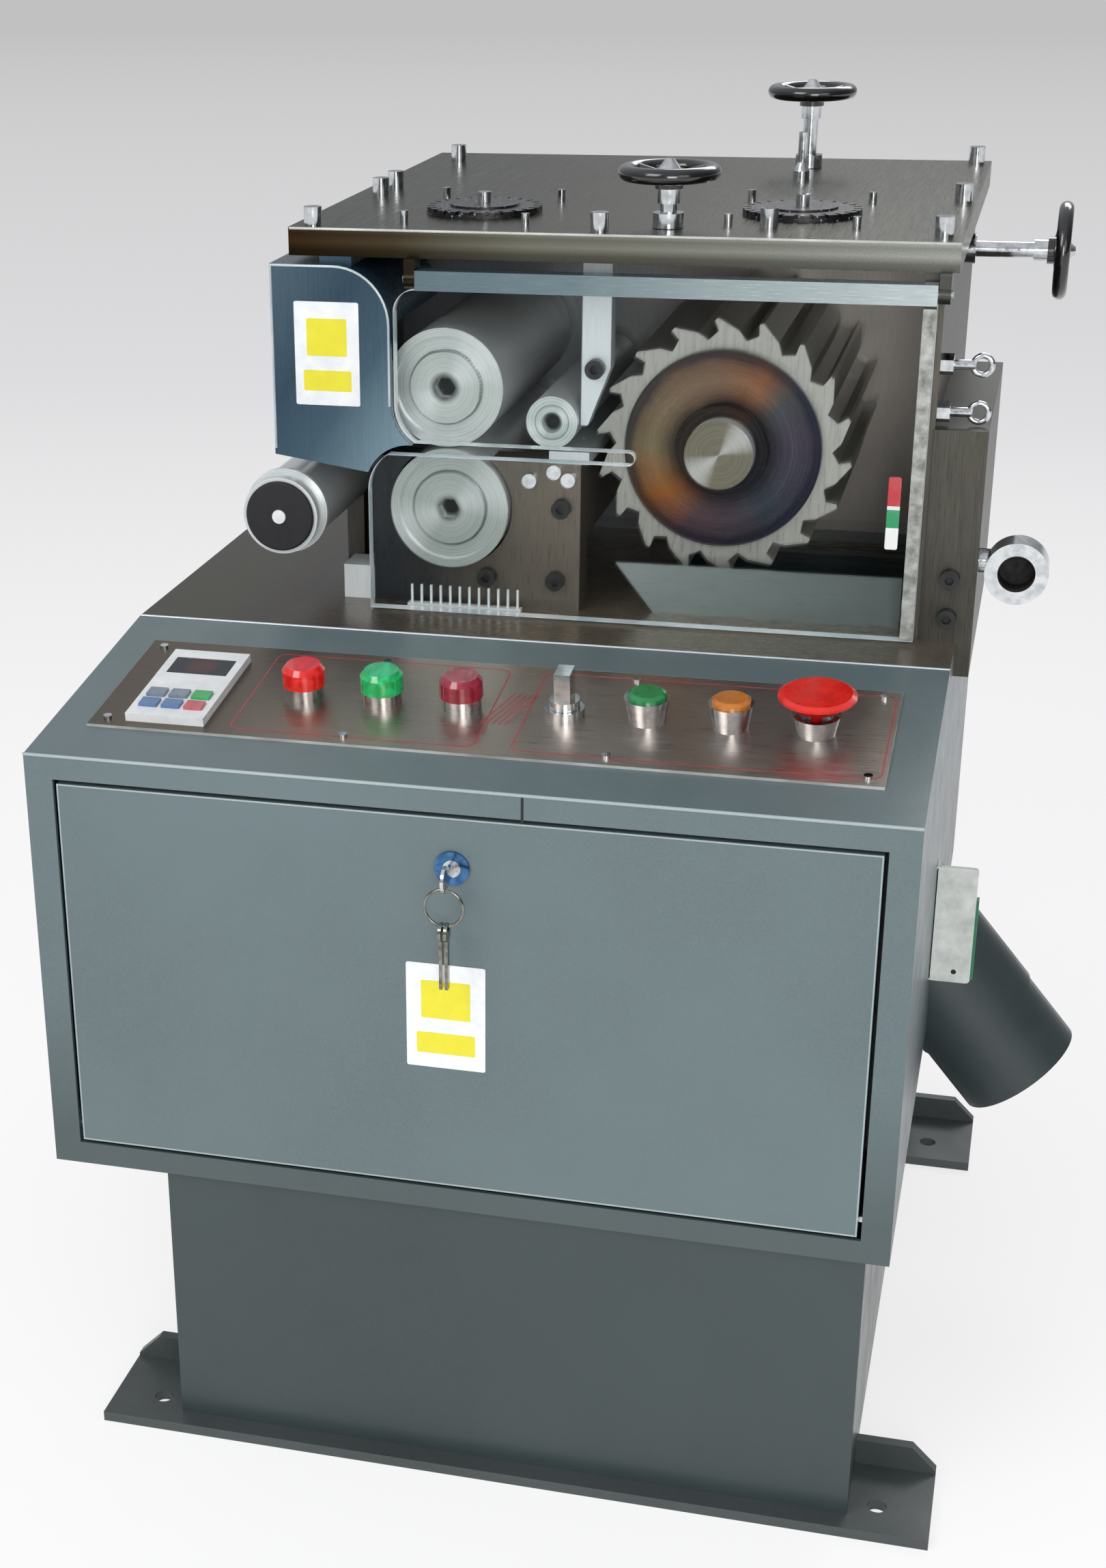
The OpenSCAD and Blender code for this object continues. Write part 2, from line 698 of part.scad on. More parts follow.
module selector_knob() {
    z0 = plate_t + knob_base_h + fit;
    color("#b9c0c4") on_desk() {
        z_rod(knob_r, z0, z0 + knob_base_h, devices_x[3], device_y);
        span([devices_x[3] - knob_grip / 2, device_y - knob_r * 0.8, z0 + knob_base_h],
            [devices_x[3] + knob_grip / 2, device_y + knob_r * 0.8, z0 + knob_h]);
        stem(devices_x[3], z0, body_l / 4);
    }
}
module push_button(i, tint) {
    z0 = plate_t + collar_h - well_h + button_travel + fit;
    z1 = plate_t + collar_h + cap_rise;
    color(tint) on_desk() {
        z_rod(cap_r, z0, z1 - cap_dome, devices_x[i], device_y);
        translate([devices_x[i], device_y, z1 - cap_dome])
            cylinder(h = cap_dome, r1 = cap_r, r2 = cap_r * 0.8);
        stem(devices_x[i], z0, body_l / 4);
    }
}
module start_button() { push_button(4, "#2f8f4e"); }
module stop_button() { push_button(5, "#d9832b"); }
module emergency_stop() {
    z0 = plate_t + stop_collar_h + stop_travel + fit;
    color("#cf2a1f") on_desk() {
        translate([devices_x[6], device_y, z0])
            cylinder(h = stop_cone_h, r1 = stop_d * 0.3, r2 = stop_d / 2);
        z_rod(stop_d / 2, z0 + stop_cone_h, z0 + stop_cone_h + stop_top_h / 2, devices_x[6], device_y);
        translate([devices_x[6], device_y, z0 + stop_cone_h + stop_top_h / 2])
            cylinder(h = stop_top_h / 2, r1 = stop_d / 2, r2 = stop_d * 0.44);
        z_rod(stop_well_r - fit, z0 - well_h + stop_travel, z0, devices_x[6], device_y);
        stem(devices_x[6], z0 - well_h + stop_travel, body_l / 4);
    }
}

// Door: tray with a folded rim, pivoting on two pins at its lower corners
module door() {
    color("#717f83") difference() {
        span([door_x0, cab_y0, door_z0], [door_x1, cab_y0 + door_rim, door_z1]);
        span([door_x0 + door_t, cab_y0 + door_t, door_z0 + door_t],
            [door_x1 - door_t, cab_y0 + door_rim + cut, door_z1 - door_t]);
        x_rod(door_pin_d / 2 + run_gap, door_x0 - cut, door_x1 + cut, hinge_y, hinge_z);
        y_rod(lock_d / 2, cab_y0 - cut, cab_y0 + door_t + cut, cab_xm, lock_z);
    }
}
module door_hinge_pins() {
    color("#9a9d9e") for (side = [-1, 1]) {
        x_out = side < 0 ? door_x0 - door_gap - sheet_t : door_x1 + door_gap + sheet_t;
        x_in = side < 0 ? door_x0 + door_t + pin_head_t : door_x1 - door_t - pin_head_t;
        x_rod(door_pin_d / 2, min(x_out, x_in), max(x_out, x_in), hinge_y, hinge_z);
        x_cap = side < 0 ? x_out - pin_head_t : x_out;
        x_rod(pin_head_d / 2, x_cap, x_cap + pin_head_t, hinge_y, hinge_z);
    }
}
module door_lock() {
    color("#7f93a8") difference() {
        union() {
            y_rod(lock_flange_d / 2, cab_y0 - lock_flange_t, cab_y0, cab_xm, lock_z);
            y_rod(lock_d / 2, cab_y0, cab_y0 + lock_l, cab_xm, lock_z);
        }
        y_rod(plug_d / 2 + run_gap, cab_y0 - lock_flange_t - cut, cab_y0 + lock_l + cut, cab_xm, lock_z);
    }
}
// Lock plug with the key in its front and the cam on its back
key_y0 = cab_y0 - lock_flange_t - key_l - pin_head_t;
module lock_key() {
    color("#c3c7ca") difference() {
        union() {
            y_rod(plug_d / 2, cab_y0 - lock_flange_t, cab_y0 + lock_l, cab_xm, lock_z);
            span([cab_xm - key_t / 2, key_y0 + key_w / 2, lock_z - key_w / 4],
                [cab_xm + key_t / 2, cab_y0 - lock_flange_t, lock_z + key_w / 4]);
            x_rod(key_w / 2, cab_xm - key_t / 2, cab_xm + key_t / 2, key_y0 + key_w / 2, lock_z);
            span([cab_xm - cam_l, cab_y0 + lock_l, lock_z - cam_w / 2],
                [cab_xm + cam_w / 2, cab_y0 + lock_l + cam_t, lock_z + cam_w / 2]);
        }
        x_rod(key_hole_d / 2, cab_xm - key_t, cab_xm + key_t, ring_y, key_hole_z);
    }
}
// Split ring through the key's hole, with two spare keys hanging on it
ring_y = key_y0 + key_w / 3;
key_hole_z = lock_z - key_w / 4;
ring_z = key_hole_z - key_hole_d / 2 + ring_wire_r + hang_gap / 4 - ring_r;
spare_hole_z = ring_z - ring_r - key_hole_d / 2 + ring_wire_r + hang_gap;
module spare_key(x) {
    difference() {
        union() {
            x_rod(spare_w / 2, x, x + key_t, ring_y, spare_hole_z - spare_w / 4);
            span([x, ring_y - spare_w / 5, spare_hole_z - spare_l],
                [x + key_t, ring_y + spare_w / 5, spare_hole_z - spare_w / 4]);
        }
        x_rod(key_hole_d / 2, x - cut, x + key_t + cut, ring_y, spare_hole_z);
    }
}
module key_ring() {
    color("#b4b8bb") {
        translate([cab_xm, ring_y, ring_z]) rotate([90, 0, 0])
            rotate_extrude() translate([ring_r, 0]) circle(r = ring_wire_r, $fn = 24);
        for (x = [key_t / 4 + ring_wire_r / 4, -key_t * 1.25 - ring_wire_r / 4])
            spare_key(cab_xm + x);
    }
}

// Head side plates, standing on the deck
module head_side_plates() {
    color("#7c8482") {
        span([head_x0, side_y0, deck_z], [head_x0 + side_t, head_y1 - sheet_t, top_under]);
        span([guide_x - side_t, side_y0, guide_z - side_t], [head_x0, side_y0 + side_t, guide_z + side_t]);
        y_rod(small_shaft_d / 2, guide_y0 + cover_t + slack, side_y0, guide_x, guide_z);
        difference() {
            span([right_wall_x - side_t, head_y0 + guard_t, deck_z],
                [right_wall_x, head_y1 - sheet_t, top_under]);
            x_rod(spindle_d / 2 + run_gap, right_wall_x - spindle_in / 2, right_wall_x + cut, side_wheel[0],
                side_wheel[1]);
        }
    }
}
inner_x0 = head_x0 + side_t;
inner_x1 = right_wall_x - side_t;
module bearing_seat(r, x, z, y0, y1) { y_rod(r, y0 - cut, y1 + cut, x, z); }
module bearing_ring(r, shaft_d, x, z, y0) {
    difference() {
        y_rod(r, y0, y0 + bearing_plate_t, x, z);
        y_rod(shaft_d / 2 + run_gap, y0 - cut, y0 + bearing_plate_t + cut, x, z);
    }
}
// Two upright bearing plates with a ball bearing for each shaft
module bearing_plates() {
    color("#8d9391") for (y = [front_plate_y, rear_plate_y]) {
        difference() {
            span([inner_x0, y, deck_z], [inner_x1, y + bearing_plate_t, top_under]);
            bearing_seat(rotor_bearing_r, rotor_x, rotor_z, y, y + bearing_plate_t);
            bearing_seat(roller_bearing_r, lower_x, lower_z, y, y + bearing_plate_t);
            bearing_seat(roller_bearing_r, upper_x, upper_z, y, y + bearing_plate_t);
            bearing_seat(small_bearing_r, press_x, press_z, y, y + bearing_plate_t);
        }
        bearing_ring(rotor_bearing_r, rotor_shaft_d, rotor_x, rotor_z, y);
        bearing_ring(roller_bearing_r, roller_shaft_d, lower_x, lower_z, y);
        bearing_ring(roller_bearing_r, roller_shaft_d, upper_x, upper_z, y);
        bearing_ring(small_bearing_r, small_shaft_d, press_x, press_z, y);
    }
}
module head_rear_cover() {
    color("#5b6568") span([head_x0, head_y1 - sheet_t, deck_z], [right_wall_x, head_y1, top_under]);
}
module guard_lug(x) {
    x_rod(guard_lug_r, x, x + guard_lug_w, guard_hinge_y, guard_hinge_z);
    span([x, guard_hinge_y - guard_lug_r * 0.75, guard_hinge_z],
        [x + guard_lug_w, head_y0 + guard_t - slack, top_under + slack]);
}
// Thick top plate with the spindle bores and two hinge lugs for the guard
module top_plate() {
    color("#8f8d80") difference() {
        union() {
            span([head_x0, head_y0, top_under], [head_x1, head_y1, head_z1]);
            guard_lug(guard_x0 + guard_lug_w);
            guard_lug(guard_x1 + slack);
        }
        for (p = [front_wheel, rear_wheel])
            z_rod(spindle_d / 2 + run_gap, head_z1 - spindle_in, head_z1 + cut, p[0], p[1]);
        x_rod(rail_pin_d / 2 + run_gap, guard_x0 + guard_lug_w - cut, guard_x1 + 2 * guard_lug_w,
            guard_hinge_y, guard_hinge_z);
    }
}

// Cap bolts of the top plate, studs and screws of the spring caps, screws of the control plate
top_bolt_shares = [[0.032, 0.027], [0.044, 0.389], [0.046, 0.48], [0.061, 0.88], [0.474, 0.033],
    [0.714, 0.116], [0.971, 0.067], [0.979, 0.447], [0.975, 0.97]];
tall_stud_shares = [0.699, 0.696];
tall_stud_d = 7;
tall_stud_h = 36;
top_bolt_d = 13;
top_bolt_h = 13;
small_screw_d = 6;
small_screw_h = 4;
plate_screw_shares = [[0.01, 0.04], [0.33, 0.04], [0.67, 0.04], [0.99, 0.04], [0.01, 0.96], [0.33, 0.96],
    [0.67, 0.96], [0.99, 0.96]];
block_small_shares = [[0.761, 0.815], [0.944, 0.83], [0.877, 0.875]];
module tall_stud(x, y) {
    z_rod(tall_stud_d / 2, head_z1, head_z1 + tall_stud_h, x, y);
    z_rod(top_bolt_d / 2, head_z1, head_z1 + top_bolt_h / 2, x, y);
    translate([x, y, head_z1 + top_bolt_h / 2])
        cylinder(h = top_bolt_h / 2, r1 = top_bolt_d / 2, r2 = tall_stud_d / 2);
}
module bright_screws() {
    color("#ccd0d2") {
        for (p = top_bolt_shares) z_rod(top_bolt_d / 2, head_z1, head_z1 + top_bolt_h,
            head_x0 + p[0] * head_w, head_y0 + p[1] * head_d);
        tall_stud(head_x0 + tall_stud_shares[0] * head_w, head_y0 + tall_stud_shares[1] * head_d);
        for (c = cap_centres) {
            z_rod(stud_d / 2, head_z1 + cap_disc_t, head_z1 + cap_disc_t + stud_h, c[0], c[1]);
            for (sx = [-1, 1]) for (sy = [-1, 1]) z_rod(small_screw_d / 2, head_z1,
                head_z1 + 2 * small_screw_h, c[0] + sx * cap_screw_x, c[1] + sy * cap_screw_y);
        }
        for (s = plate_screw_shares) on_desk() z_rod(small_screw_d / 2, plate_t, plate_t
            + small_screw_h / 2, plate_x0 + plate_screw_in + s[0] * (plate_w - 2 * plate_screw_in),
            plate_up + plate_screw_in + s[1] * (plate_d - 2 * plate_screw_in));
        for (p = block_small_shares) y_rod(small_screw_d * 0.9, block_y0 - small_screw_h, block_y0,
            block_x0 + p[0] * (block_x1 - block_x0), deck_z + p[1] * (strand_z - deck_z));
    }
}

// Infeed guard: upright plate beside the rollers with a curved hood behind it
module feed_outline() {
    difference() {
        union() {
            translate([feed_x0, feed_z0]) square([feed_x1 - feed_round - feed_x0, feed_z1 - feed_z0]);
            translate([feed_x0, feed_z0]) square([feed_x1 - feed_x0, feed_z1 - feed_round - feed_z0]);
            translate([feed_x1 - feed_round, feed_z1 - feed_round]) circle(r = feed_round);
            polygon([[feed_x0, feed_z0], [guard_low_x0, feed_z0 - feed_round / 4],
                [lower_x - guard_round / 2, feed_z0], [lower_x - guard_round / 4, strand_z + nip_gap],
                [feed_x1, strand_z + guard_round]]);
        }
        translate([guard_low_x0 + guard_round, slot_z0 - guard_round]) circle(r = guard_round + guard_gap);
        translate([guard_low_x0 + guard_round, slot_z0 - slot_h / 2 - guard_gap]) square([head_w, slot_h]);
        translate([guard_x0 + guard_round, slot_z0 + guard_round]) circle(r = guard_round + guard_gap);
    }
}
module infeed_guard() {
    color("#7d8f99") {
        xz_sheet(feed_y0, feed_y0 + feed_t) feed_outline();
        xz_sheet(feed_y0 + feed_t, side_y0) difference() {
            translate([feed_x1 - feed_round, feed_z1 - feed_round]) circle(r = feed_round);
            translate([feed_x1 - feed_round, feed_z1 - feed_round]) circle(r = feed_round - hood_t);
            translate([feed_x0, feed_z0]) square([feed_x1 - feed_round - feed_x0, feed_z1 - feed_z0]);
            translate([feed_x0, feed_z0]) square([feed_x1 - feed_x0, feed_z1 - feed_round - feed_z0]);
        }
        span([feed_x0, feed_y0 + feed_t, feed_z1 - hood_t],
            [feed_x1 - feed_round, side_y0, feed_z1]);
        span([feed_x0, feed_y0 + feed_t, feed_z0], [feed_x0 + hood_t, side_y0, feed_z1]);
        span([feed_x1 - feed_round - feed_tab_w / 2, head_y0, feed_z1 - hood_t / 2],
            [feed_x1 - feed_round + feed_tab_w / 2, head_y0 + left_wall_front / 2, top_under]);
    }
}

// Knife block: bolted front plate with a clearance bore for the lower roller, and the knife beam
module knife_block() {
    color("#6d7476") difference() {
        union() {
            span([block_x0, block_y0, deck_z], [block_x1, block_y0 + block_t, strand_z - knife_t]);
            span([beam_x0, block_y0 + block_t, strand_z - knife_t - beam_h],
                [block_x1, front_plate_y, strand_z - knife_t]);
        }
        y_rod(lower_r + sheet_t / 2, block_y0 - cut, block_y0 + block_t + cut, lower_x, lower_z);
    }
}
module bed_knife() {
    color("#9aa0a2") span([knife_x1 - knife_w, block_y0, strand_z - knife_t],
        [knife_x1, front_plate_y, strand_z]);
}
// Black socket head screws of the block, the bracket and the side cover
block_bolt_shares = [[0.915, 0.653], [0.56, 0.196], [0.89, 0.196]];
bolt_head_r = 7;
bolt_head_h = 8;
module socket_screw(y0, x, z) {
    difference() {
        y_rod(bolt_head_r, y0 - bolt_head_h, y0, x, z);
        translate([x, y0 - bolt_head_h - cut, z]) rotate([-90, 0, 0])
            cylinder(h = bolt_head_h / 2 + cut, r = bolt_head_r / 2, $fn = 6);
    }
}
module socket_screws() {
    color("#2b2d2e") {
        for (p = block_bolt_shares) socket_screw(block_y0, block_x0 + p[0] * (block_x1 - block_x0),
            deck_z + p[1] * (strand_z - deck_z));
        socket_screw(block_y0, bracket_x0 + bracket_w / 2, bracket_knee_z);
        for (z = [deck_z + cover_h * 0.12, deck_z + cover_h * 0.31])
            socket_screw(cover_y0, (right_wall_x + cover_x1) / 2, z);
    }
}
module strand_comb() {
    color("#c5cacb") {
        span([comb_x0, comb_y - comb_t / 2, deck_z], [comb_x1, comb_y + comb_t / 2, deck_z + comb_h]);
        for (i = [0:pin_count - 1]) z_rod(pin_d / 2, deck_z + comb_h, deck_z + comb_h + pin_h,
            comb_x0 + comb_t / 2 + i * (comb_x1 - comb_x0 - comb_t) / (pin_count - 1), comb_y);
        span([block_x0 - spacer_w, block_y0, deck_z], [block_x0, block_y0 + block_t, deck_z + spacer_h]);
    }
}
module hold_down_bracket() {
    color("#c4cdd2") xz_sheet(block_y0, block_y0 + bracket_t) polygon([[bracket_x0, top_under],
        [bracket_x0 + bracket_w, top_under], [bracket_x0 + bracket_w, bracket_knee_z],
        [bracket_x0 + bracket_tip_w, bracket_tip_z], [bracket_x0, bracket_tip_z]]);
}

// Hopper under the cutter: four thin walls standing through the deck
module discharge_hopper() {
    color("#b6bfc2") {
        xz_sheet(hopper_y0, hopper_y0 + hopper_t) polygon([[hopper_x0, deck_z + hopper_h],
            [hopper_x1, deck_z + hopper_h], [hopper_x1, deck_z], [hopper_x0 + hopper_slant, deck_z]]);
        for (x = [hopper_x0 + hopper_slant, hopper_x1 - hopper_t])
            span([x, hopper_y0 + hopper_t, deck_z], [x + hopper_t, hopper_y1, deck_z + hopper_h / 4]);
        span([hopper_x0 + hopper_slant, hopper_y1 - hopper_t, deck_z],
            [hopper_x1, hopper_y1, deck_z + hopper_h / 4]);
    }
}
// Sloping discharge pipe with a collecting box under the hopper and a plain spigot at its end
module discharge_pipe() {
    color("#46555a") difference() {
        union() {
            pipe_part(pipe_d / 2, spigot_l, pipe_len);
            pipe_part(pipe_d / 2 - spigot_in, 0, spigot_l + cut);
            span([box_x0, box_y0, box_z0], [box_x1, box_y1, deck_under - sheet_t]);
        }
        pipe_core(pipe_d / 2 - pipe_t);
        span([box_x0 + hopper_t, box_y0 + hopper_t, box_z0 + hopper_t],
            [box_x1 - hopper_t, box_y1 - hopper_t, deck_under - sheet_t + cut]);
    }
}

// Right-hand cover beside the cutter, with an air port on its side
module side_cover() {
    color("#5d625f") difference() {
        union() {
            span([right_wall_x, cover_y0, deck_z], [cover_x1, cover_y1, deck_z + cover_h]);
            span([cab_x1, cover_y0, deck_z - cover_h / 6], [cover_x1, cover_y1, deck_z + cover_t]);
        }
        span([right_wall_x - cut, cover_y0 + cover_t, deck_z - cut],
            [cover_x1 - cover_t, cover_y1 - cover_t, deck_z + cover_h - cover_t]);
        x_rod(port_bore_d / 4, cover_x1 - cover_t - cut, cover_x1 + cut, port_stub_y,
            port_z);
    }
}
module air_port() {
    color("#c6cacc") {
        difference() {
            y_rod(port_d / 2, port_y0, port_y0 + port_l, port_x, port_z);
            y_rod(port_bore_d / 2, port_y0 - cut, port_y0 + port_l - cover_t, port_x, port_z);
        }
        y_rod(port_stub_d / 2, port_y0 + port_l, port_stub_y, port_x, port_z);
        x_rod(port_stub_d / 2, cover_x1, port_x, port_stub_y, port_z);
        translate([port_x, port_stub_y, port_z]) sphere(r = port_stub_d / 2);
    }
}

// Black ribbed caps over the press springs
module spring_caps() {
    color("#1d1f22") for (c = cap_centres) translate([c[0], c[1], head_z1]) difference() {
        union() {
            cylinder(h = cap_disc_t, r = cap_disc_r * 0.6);
            cylinder(h = cap_disc_t * 0.75, r = cap_disc_r);
        }
        for (i = [0:cap_rib_count - 1]) rotate([0, 0, i * 360 / cap_rib_count])
            translate([cap_disc_r * 0.86, -cap_rib_w / 2, cap_rib_t])
            cube([cap_disc_r, cap_rib_w, cap_disc_t]);
    }
}

// Eye bolts that clamp the right edge of the guard
module eyebolt(z) {
    color("#b9bfc1") {
        x_rod(eye_shank_d / 2, right_wall_x, right_wall_x + eye_in + eye_out, eye_y, z);
        translate([right_wall_x, eye_y, z]) rotate([0, 90, 0])
            cylinder(h = eye_nut_t, r = eye_nut_d / 2, $fn = 6);
        translate([right_wall_x + eye_in + eye_out + eye_ring_r - eye_wire_r / 2, eye_y, z])
            rotate([90, 0, 0]) rotate_extrude() translate([eye_ring_r, 0]) circle(r = eye_wire_r, $fn = 24);
    }
}
module eyebolt_upper() { eyebolt(eye_upper_z); }
module eyebolt_lower() { eyebolt(eye_lower_z); }

// Dished handwheel with a round rim, three sloping spokes and a low hub, centred on its own axis
module handwheel() {
    rotate_extrude() translate([wheel_r - wheel_rim_r, 0]) circle(r = wheel_rim_r, $fn = 32);
    for (i = [0:2]) rotate([0, 0, 30 + i * 120]) translate([0, 0, -wheel_rim_r * 0.8])
        rotate([0, 90 - spoke_slope, 0]) cylinder(h = wheel_r - wheel_rim_r, r = wheel_rim_r * 0.7);
    translate([0, 0, -hub_low]) cylinder(h = hub_low + hub_high, r = hub_d / 2);
}
module wheel_bored() {
    difference() {
        handwheel();
        translate([0, 0, -wheel_r]) cylinder(h = wheel_r * 2, r = spindle_d / 2);
    }
}
// Spindle with a collar on the plate and a domed nut over the wheel
module spindle(height, depth) {
    translate([0, 0, -depth]) cylinder(h = height + hub_high + depth, r = spindle_d / 2);
    translate([0, 0, slack]) cylinder(h = collar_l, r = collar_d / 2);
    translate([0, 0, height - hub_low - collar_l]) cylinder(h = collar_l, r = hub_d * 0.4);
    translate([0, 0, height + hub_high])
        cylinder(h = collar_l * 0.7, r1 = spindle_d * 0.7, r2 = spindle_d / 4);
}
module at_front() { translate([front_wheel[0], front_wheel[1], head_z1]) children(); }
module at_rear() { translate([rear_wheel[0], rear_wheel[1], head_z1]) children(); }
module at_side() { translate([right_wall_x, side_wheel[0], side_wheel[1]]) rotate([0, 90, 0]) children(); }
module handwheel_front() { color("#17181b") at_front() translate([0, 0, front_wheel_h]) wheel_bored(); }
module handwheel_rear() { color("#17181b") at_rear() translate([0, 0, rear_wheel_h]) wheel_bored(); }
module handwheel_side() { color("#17181b") at_side() translate([0, 0, side_wheel_h]) wheel_bored(); }
module spindle_front() { color("#c0c5c8") at_front() spindle(front_wheel_h, spindle_in - slack); }
module spindle_rear() { color("#c0c5c8") at_rear() spindle(rear_wheel_h, spindle_in - slack); }
module spindle_side() { color("#c0c5c8") at_side() spindle(side_wheel_h, spindle_in / 2 - slack); }

// Clear front guard with the strand slot, hung from its rail
module guard_outline() {
    difference() {
        union() {
            translate([guard_x0, slot_z0])
                square([guard_x1 - guard_x0, guard_hinge_z - rail_bar / 2 - slot_z0]);
            translate([guard_low_x0 + guard_round, guard_z0])
                square([guard_x1 - guard_low_x0 - guard_round, slot_z0 - guard_z0]);
            translate([guard_low_x0, guard_z0])
                square([guard_round, slot_z0 - guard_round - guard_z0]);
            translate([guard_low_x0 + guard_round, slot_z0 - guard_round]) circle(r = guard_round);
        }
        translate([guard_low_x0 - cut, slot_z0 - slot_h / 2])
            square([slot_end_x - slot_h / 2 - guard_low_x0 + cut, slot_h]);
        translate([slot_end_x - slot_h / 2, slot_z0]) circle(r = slot_h / 2);
        difference() {
            translate([guard_x0 - cut, slot_z0]) square([guard_round + cut, guard_round]);
            translate([guard_x0 + guard_round, slot_z0 + guard_round]) circle(r = guard_round);
        }
        difference() {
            translate([guard_x0 - cut, guard_hinge_z - rail_bar / 2 - guard_corner])
                square([guard_corner + cut, guard_corner + cut]);
            translate([guard_x0 + guard_corner, guard_hinge_z - rail_bar / 2 - guard_corner])
                circle(r = guard_corner);
        }
    }
}
module front_guard() {
    color("#c8dadd", 0.35)
        xz_sheet(guard_hinge_y - guard_t / 2, guard_hinge_y + guard_t / 2) guard_outline();
}
rail_x0 = guard_x0 + 2 * guard_lug_w + slack;
rail_x1 = guard_x1;
module guard_rail() {
    color("#cfd8da") {
        span([rail_x0, guard_hinge_y - rail_bar / 2, guard_hinge_z - rail_bar / 2],
            [rail_x1, guard_hinge_y + rail_bar / 2, guard_hinge_z + rail_bar / 2]);
        x_rod(rail_pin_d / 2, rail_x0 - rail_pin_l, rail_x1 + rail_pin_l, guard_hinge_y, guard_hinge_z);
    }
}

// Cutter with hooked teeth, its front disc and its shaft
tooth_step = 360 / tooth_count;
root_r = rotor_r * tooth_root_share;
function polar(r, a) = [r * cos(a), r * sin(a)];
tooth_points = [for (i = [0:tooth_count - 1]) each [
    polar(root_r, i * tooth_step),
    polar(rotor_r * 0.91, (i + tooth_lean_share * 0.55) * tooth_step),
    polar(rotor_r, (i + tooth_lean_share * 1.7) * tooth_step),
    polar(rotor_r * 0.985, (i + tooth_lean_share * 1.9) * tooth_step),
    polar(rotor_r * 0.9, (i + tooth_lean_share * 1.72) * tooth_step)]];
module rotor_cutter() {
    color("#a2a6a0") xz_sheet(rotor_y0, rotor_y0 + rotor_l) translate([rotor_x, rotor_z]) difference() {
        polygon(tooth_points);
        circle(r = rotor_shaft_d / 2);
    }
}
module rotor_disc() {
    color("#8a6f52") difference() {
        union() {
            y_rod(disc_r, rotor_y0 - disc_t, rotor_y0, rotor_x, rotor_z);
            y_rod(hub_r, rotor_y0 - disc_t - hub_l, rotor_y0 - disc_t, rotor_x, rotor_z);
        }
        y_rod(rotor_shaft_d / 2, rotor_y0 - disc_t - hub_l - cut, rotor_y0 + cut, rotor_x, rotor_z);
    }
}
module rotor_shaft() {
    color("#9c9a88") {
        y_rod(rotor_shaft_d / 2, rotor_y0 - disc_t - hub_l, pulley_y0 + belt_w + cover_t, rotor_x, rotor_z);
        y_rod(stub_r, rotor_y0 - disc_t - hub_l - stub_l, rotor_y0 - disc_t - hub_l, rotor_x, rotor_z);
        y_rod(rotor_pulley_r - belt_t, pulley_y0, pulley_y0 + belt_w, rotor_x, rotor_z);
        for (y = [pulley_y0 - cover_t / 2, pulley_y0 + belt_w])
            y_rod(rotor_pulley_r, y, y + cover_t / 2, rotor_x, rotor_z);
    }
}

// Feed rollers: barrel with a sunk hub face, hub ring and shaft
module feed_roller(r, x, z, y_end) {
    difference() {
        y_rod(r, roller_y0, roller_y0 + roller_l, x, z);
        difference() {
            y_rod(r * 0.86, roller_y0 - cut, roller_y0 + roller_face_in, x, z);
            y_rod(roller_hub_r, roller_y0 - cut, roller_y0 + roller_face_in + cut, x, z);
        }
        translate([x, roller_y0 - cut, z]) rotate([-90, 0, 0])
            cylinder(h = roller_hub_l * 2, r = roller_hub_r * 0.3, $fn = 6);
    }
    y_rod(roller_shaft_d / 2, roller_y0 + roller_l, y_end, x, z);
}
roller_end = rear_plate_y + bearing_plate_t;
module upper_feed_roller() {
    color("#b5bab8") feed_roller(upper_r, upper_x, upper_z, roller_end + cover_t);
}
module lower_feed_roller() {
    color("#aeb6b3") feed_roller(lower_r, lower_x, lower_z, roller_end + feed_box / 2);
}
module press_roller() {
    color("#b9c2bf") {
        difference() {
            y_rod(press_r, roller_y0, front_plate_y - roller_hub_l, press_x, press_z);
            y_rod(press_r * 0.35, roller_y0 - cut, roller_y0 + roller_hub_l, press_x, press_z);
        }
        y_rod(small_shaft_d / 2, front_plate_y - roller_hub_l, roller_end, press_x, press_z);
    }
}
// Guide roller on a fixed axle beside the knife block
guide_y1 = side_y0 - cover_t;
module guide_roller() {
    color("#8f9494") difference() {
        union() {
            y_rod(guide_r, guide_y0, guide_y1, guide_x, guide_z);
            y_rod(guide_r + guide_flange, guide_y0 + bearing_w, guide_y0 + bearing_w + cover_t, guide_x,
                guide_z);
        }
        y_rod(small_shaft_d / 2 + run_gap, guide_y0 + cover_t, guide_y1 + cut, guide_x, guide_z);
    }
}

// Belt round both pulleys, as one flat loop
module belt_outline(grow) {
    r1 = rotor_pulley_r - belt_t + belt_gap + grow;
    r2 = motor_pulley_r - belt_t + belt_gap + grow;
    hull() {
        translate([rotor_x, rotor_z]) circle(r = r1);
        translate([motor_x, motor_z]) circle(r = r2);
    }
}
module drive_belt() {
    color("#1c1c1c") xz_sheet(pulley_y0 + cover_t / 2, pulley_y0 + belt_w - cover_t / 2) difference() {
        belt_outline(belt_t);
        belt_outline(0);
    }
}
